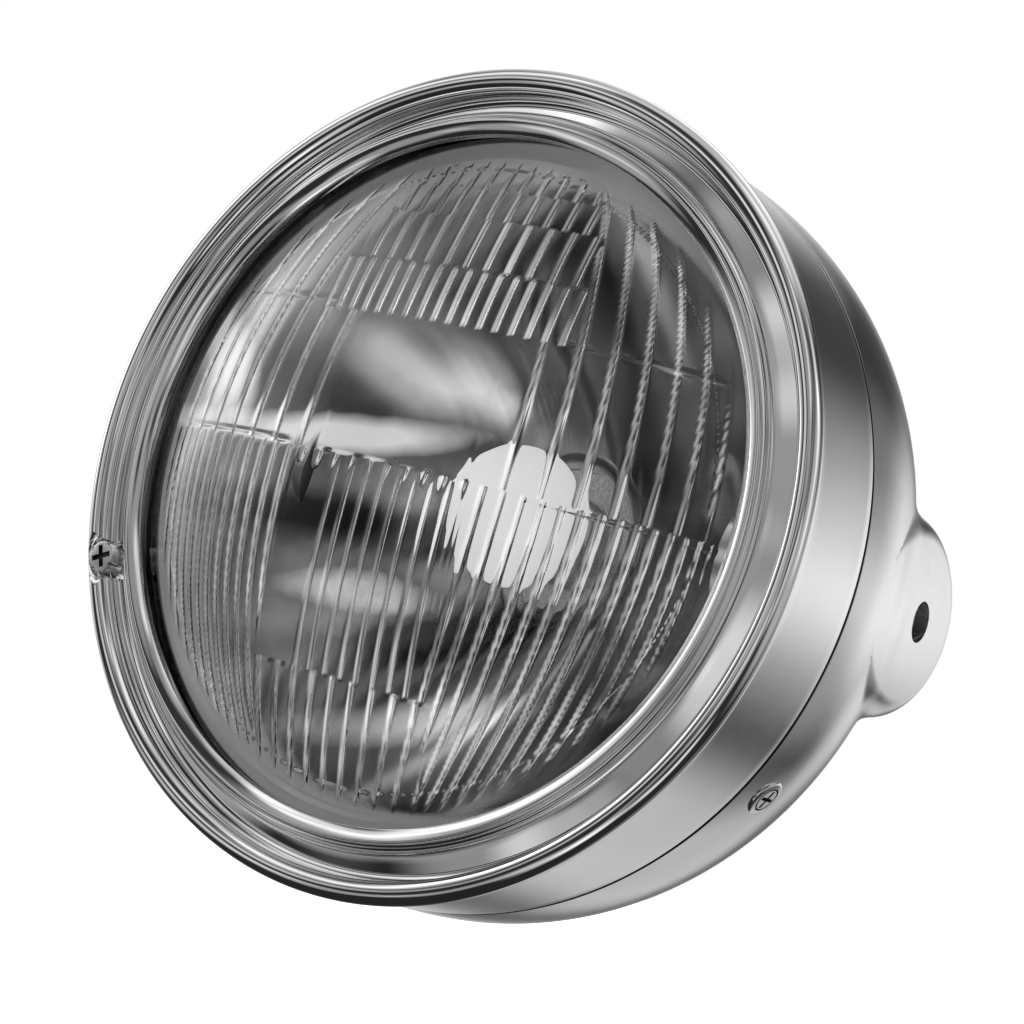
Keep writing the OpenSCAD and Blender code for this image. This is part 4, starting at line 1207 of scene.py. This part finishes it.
LOOKS = {
    "rear_grommet": "rubber",
    "left_clip_nut": "spring_steel", "right_clip_nut": "spring_steel",
    "upper_pivot_stud": "zinc", "lower_pivot_stud": "zinc",
    "adjuster_spring": "spring_steel", "adjuster_nut": "brass", "lens_seal": "sealing_bead",
    "retaining_ring": "zinc", "unit_ring": "zinc", "unit_screws": "zinc",
    "bulb_glass": "opal_glass", "bulb_base": "bulb_metal", "bulb_filaments": "tungsten",
    "bulb_shield": "bulb_metal", "bulb_terminals": "brass", "bulb_clip": "spring_steel",
    "bulb_boot": "rubber",
}
for node, look in LOOKS.items():
    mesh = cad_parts[node].data
    mesh.materials.clear()
    mesh.materials.append(MATERIALS[look])
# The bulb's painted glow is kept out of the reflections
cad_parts["bulb_glass"].visible_glossy = False


# Studio

ROOM_BELOW = 0.06
ROOM_ABOVE = 0.1
# Soft boxes round the lamp: azimuth from the lamp's front to its right, elevation, softness, strength
SOFT_BOXES = (
    (-82, 10, 14, 0.55), (-29, 8, 14, 0.54), (-165, 55, 25, 0.51), (1, -37, 14, 0.47), (170, 4, 25, 0.47),
    (43, 3, 14, 0.43), (178, -32, 25, 0.43), (-57, 24, 14, 0.38), (21, -42, 14, 0.38), (-59, -23, 14, 0.37),
    (-39, -27, 14, 0.35), (93, 31, 14, 0.35), (85, 44, 14, 0.33), (19, -10, 14, 0.33), (16, 18, 14, 0.33),
    (-19, -32, 14, 0.33), (11, 0, 14, 0.33), (-62, 6, 14, 0.32), (138, -4, 25, 0.32), (-77, 28, 14, 0.31),
    (-4, 22, 14, 0.3), (-74, -1, 14, 0.3), (-52, 45, 14, 0.3), (88, 12, 14, 0.3), (6, -17, 14, 0.28),
    (-45, 31, 14, 0.28), (-137, -1, 25, 0.26), (0, 43, 14, 0.26), (-87, -7, 14, 0.25), (20, 37, 14, 0.22),
    (143, 64, 25, 0.21), (36, 14, 14, 0.2), (150, 17, 25, 0.2), (-69, 17, 14, 0.19), (31, -4, 14, 0.19),
    (145, -42, 25, 0.17), (-40, 55, 14, 0.17), (-37, 19, 14, 0.16), (40, 32, 14, 0.15), (-145, 36, 25, 0.15),
)
SOFT_BOX_POWER = 0.95
SOFT_BOX_WIDTH = 0.36
SOFT_BOX_BLUR = 0.6
ROOM_CONTRAST = 1.5
ROOM_GAIN = 1.32
# Larger and brighter boxes: azimuth, elevation, half width, softness, strength
KEY_BOXES = (
    (146, 7, 7, 12, 0.12), (172, 9, 7, 13, 0.08), (-163, 10, 6, 14, 0.06), (-9, 4, 4, 8, 0.4),
    (44, -36, 5, 9, 0.6), (14, -48, 5, 9, 0.35), (14, 33, 4, 9, 0.35), (22, 60, 5, 12, 0.3),
    (-46, -16, 4, 8, 0.35),
    (88, 12, 22, 22, 0.4), (-118, 12, 28, 26, 0.42), (0, 88, 22, 26, 0.45), (-160, -8, 20, 30, 0.12),
    (-88, 13, 8, 8, 0.4), (-73, 27, 8, 8, 0.4), (-54, 40, 8, 8, 0.35),
)


def studio_light():
    """Dim room with soft boxes all round for the chrome to reflect; the camera itself sees plain white."""
    world = bpy.data.worlds.new("studio")
    bpy.context.scene.world = world
    world.use_nodes = True
    tree = world.node_tree
    tree.nodes.clear()
    add, link = tree.nodes.new, tree.links.new

    def number(op, a, b=None, c=None, clamp=False):
        node = add("ShaderNodeMath")
        node.operation = op
        node.use_clamp = clamp
        for k, value in enumerate((a, b, c)):
            if value is None:
                continue
            if isinstance(value, (int, float)):
                node.inputs[k].default_value = value
            else:
                link(value, node.inputs[k])
        return node.outputs[0]

    coords = add("ShaderNodeTexCoord").outputs["Generated"]
    split = add("ShaderNodeSeparateXYZ")
    link(coords, split.inputs[0])
    height = number("MULTIPLY_ADD", split.outputs["Z"], 0.5, 0.5)
    total = number("MULTIPLY_ADD", height, ROOM_ABOVE - ROOM_BELOW, ROOM_BELOW)

    def soft_box(azimuth, elevation, size, soft, strength):
        nonlocal total
        a, e = math.radians(azimuth), math.radians(elevation)
        towards = (math.sin(a) * math.cos(e), -math.cos(a) * math.cos(e), math.sin(e))
        dot = add("ShaderNodeVectorMath")
        dot.operation = "DOT_PRODUCT"
        link(coords, dot.inputs[0])
        dot.inputs[1].default_value = towards
        near, far = math.cos(math.radians(size)), math.cos(math.radians(size + soft))
        spread = add("ShaderNodeMapRange")
        spread.interpolation_type = "SMOOTHSTEP"
        link(dot.outputs["Value"], spread.inputs["Value"])
        spread.inputs["From Min"].default_value = far
        spread.inputs["From Max"].default_value = near
        spread.inputs["To Max"].default_value = strength
        total = number("ADD", total, spread.outputs[0])

    for azimuth, elevation, soft, strength in SOFT_BOXES:
        soft_box(azimuth, elevation, SOFT_BOX_WIDTH * soft, SOFT_BOX_BLUR * soft, strength * SOFT_BOX_POWER)
    for azimuth, elevation, size, soft, strength in KEY_BOXES:
        soft_box(azimuth, elevation, size, soft, strength)
    total = number("MULTIPLY", number("POWER", total, ROOM_CONTRAST), ROOM_GAIN)
    light = add("ShaderNodeBackground")
    link(total, light.inputs["Color"])
    light.inputs["Strength"].default_value = 1.0
    white = add("ShaderNodeBackground")
    white.inputs["Color"].default_value = (1, 1, 1, 1)
    rays = add("ShaderNodeLightPath")
    mix = add("ShaderNodeMixShader")
    link(rays.outputs["Is Camera Ray"], mix.inputs[0])
    link(light.outputs[0], mix.inputs[1])
    link(white.outputs[0], mix.inputs[2])
    out = add("ShaderNodeOutputWorld")
    link(mix.outputs[0], out.inputs[0])


# Half size and height of the floor, in metres
FLOOR, FLOOR_UP = 6.0, -0.5


def studio_floor():
    """Plain pale floor, well below the lamp, which hangs from its side bolts."""
    corners = [(-FLOOR, -FLOOR), (FLOOR, -FLOOR), (FLOOR, FLOOR), (-FLOOR, FLOOR)]
    mesh = make_mesh("floor", [(x, y, FLOOR_UP) for x, y in corners], [(0, 1, 2, 3)])
    floor = add_object("floor", mesh)
    s = Shader("pale_floor")
    s.bsdf.inputs["Base Color"].default_value = grey(0.9)
    s.bsdf.inputs["Roughness"].default_value = 0.9
    s.glow(1.0)
    mesh.materials.append(s.material)
    floor.visible_glossy = False
    floor.visible_transmission = False
    floor.visible_diffuse = False


# The camera that was fitted to the photograph: its focal length in pixels, the picture's side, its place
FOCAL_PIXELS = 1984.92
PICTURE_SIDE = 1024
SENSOR = 36.0
CAMERA_AT = (0.272795, -0.441386, -0.051213)


def camera():
    data = bpy.data.cameras.new("camera")
    data.sensor_width = SENSOR
    data.lens = SENSOR * FOCAL_PIXELS / PICTURE_SIDE
    data.clip_start = 0.01
    cam = add_object("camera", data)
    right = Vector((0.81568239, 0.50339353, 0.28505648))
    down = Vector((0.18410089, 0.24125323, -0.95283983))
    ahead = Vector((-0.5484242, 0.82969382, 0.10411082))
    turn = Matrix((right, -down, -ahead)).transposed().to_4x4()
    cam.matrix_world = Matrix.Translation(CAMERA_AT) @ turn
    bpy.context.scene.camera = cam


studio_light()
studio_floor()
camera()
bpy.context.scene.view_settings.view_transform = "Standard"
# Bounces that the fluted glass in front of a mirror needs
bpy.context.scene.cycles.max_bounces = 12
bpy.context.scene.cycles.transmission_bounces = 8
bpy.context.scene.cycles.glossy_bounces = 6
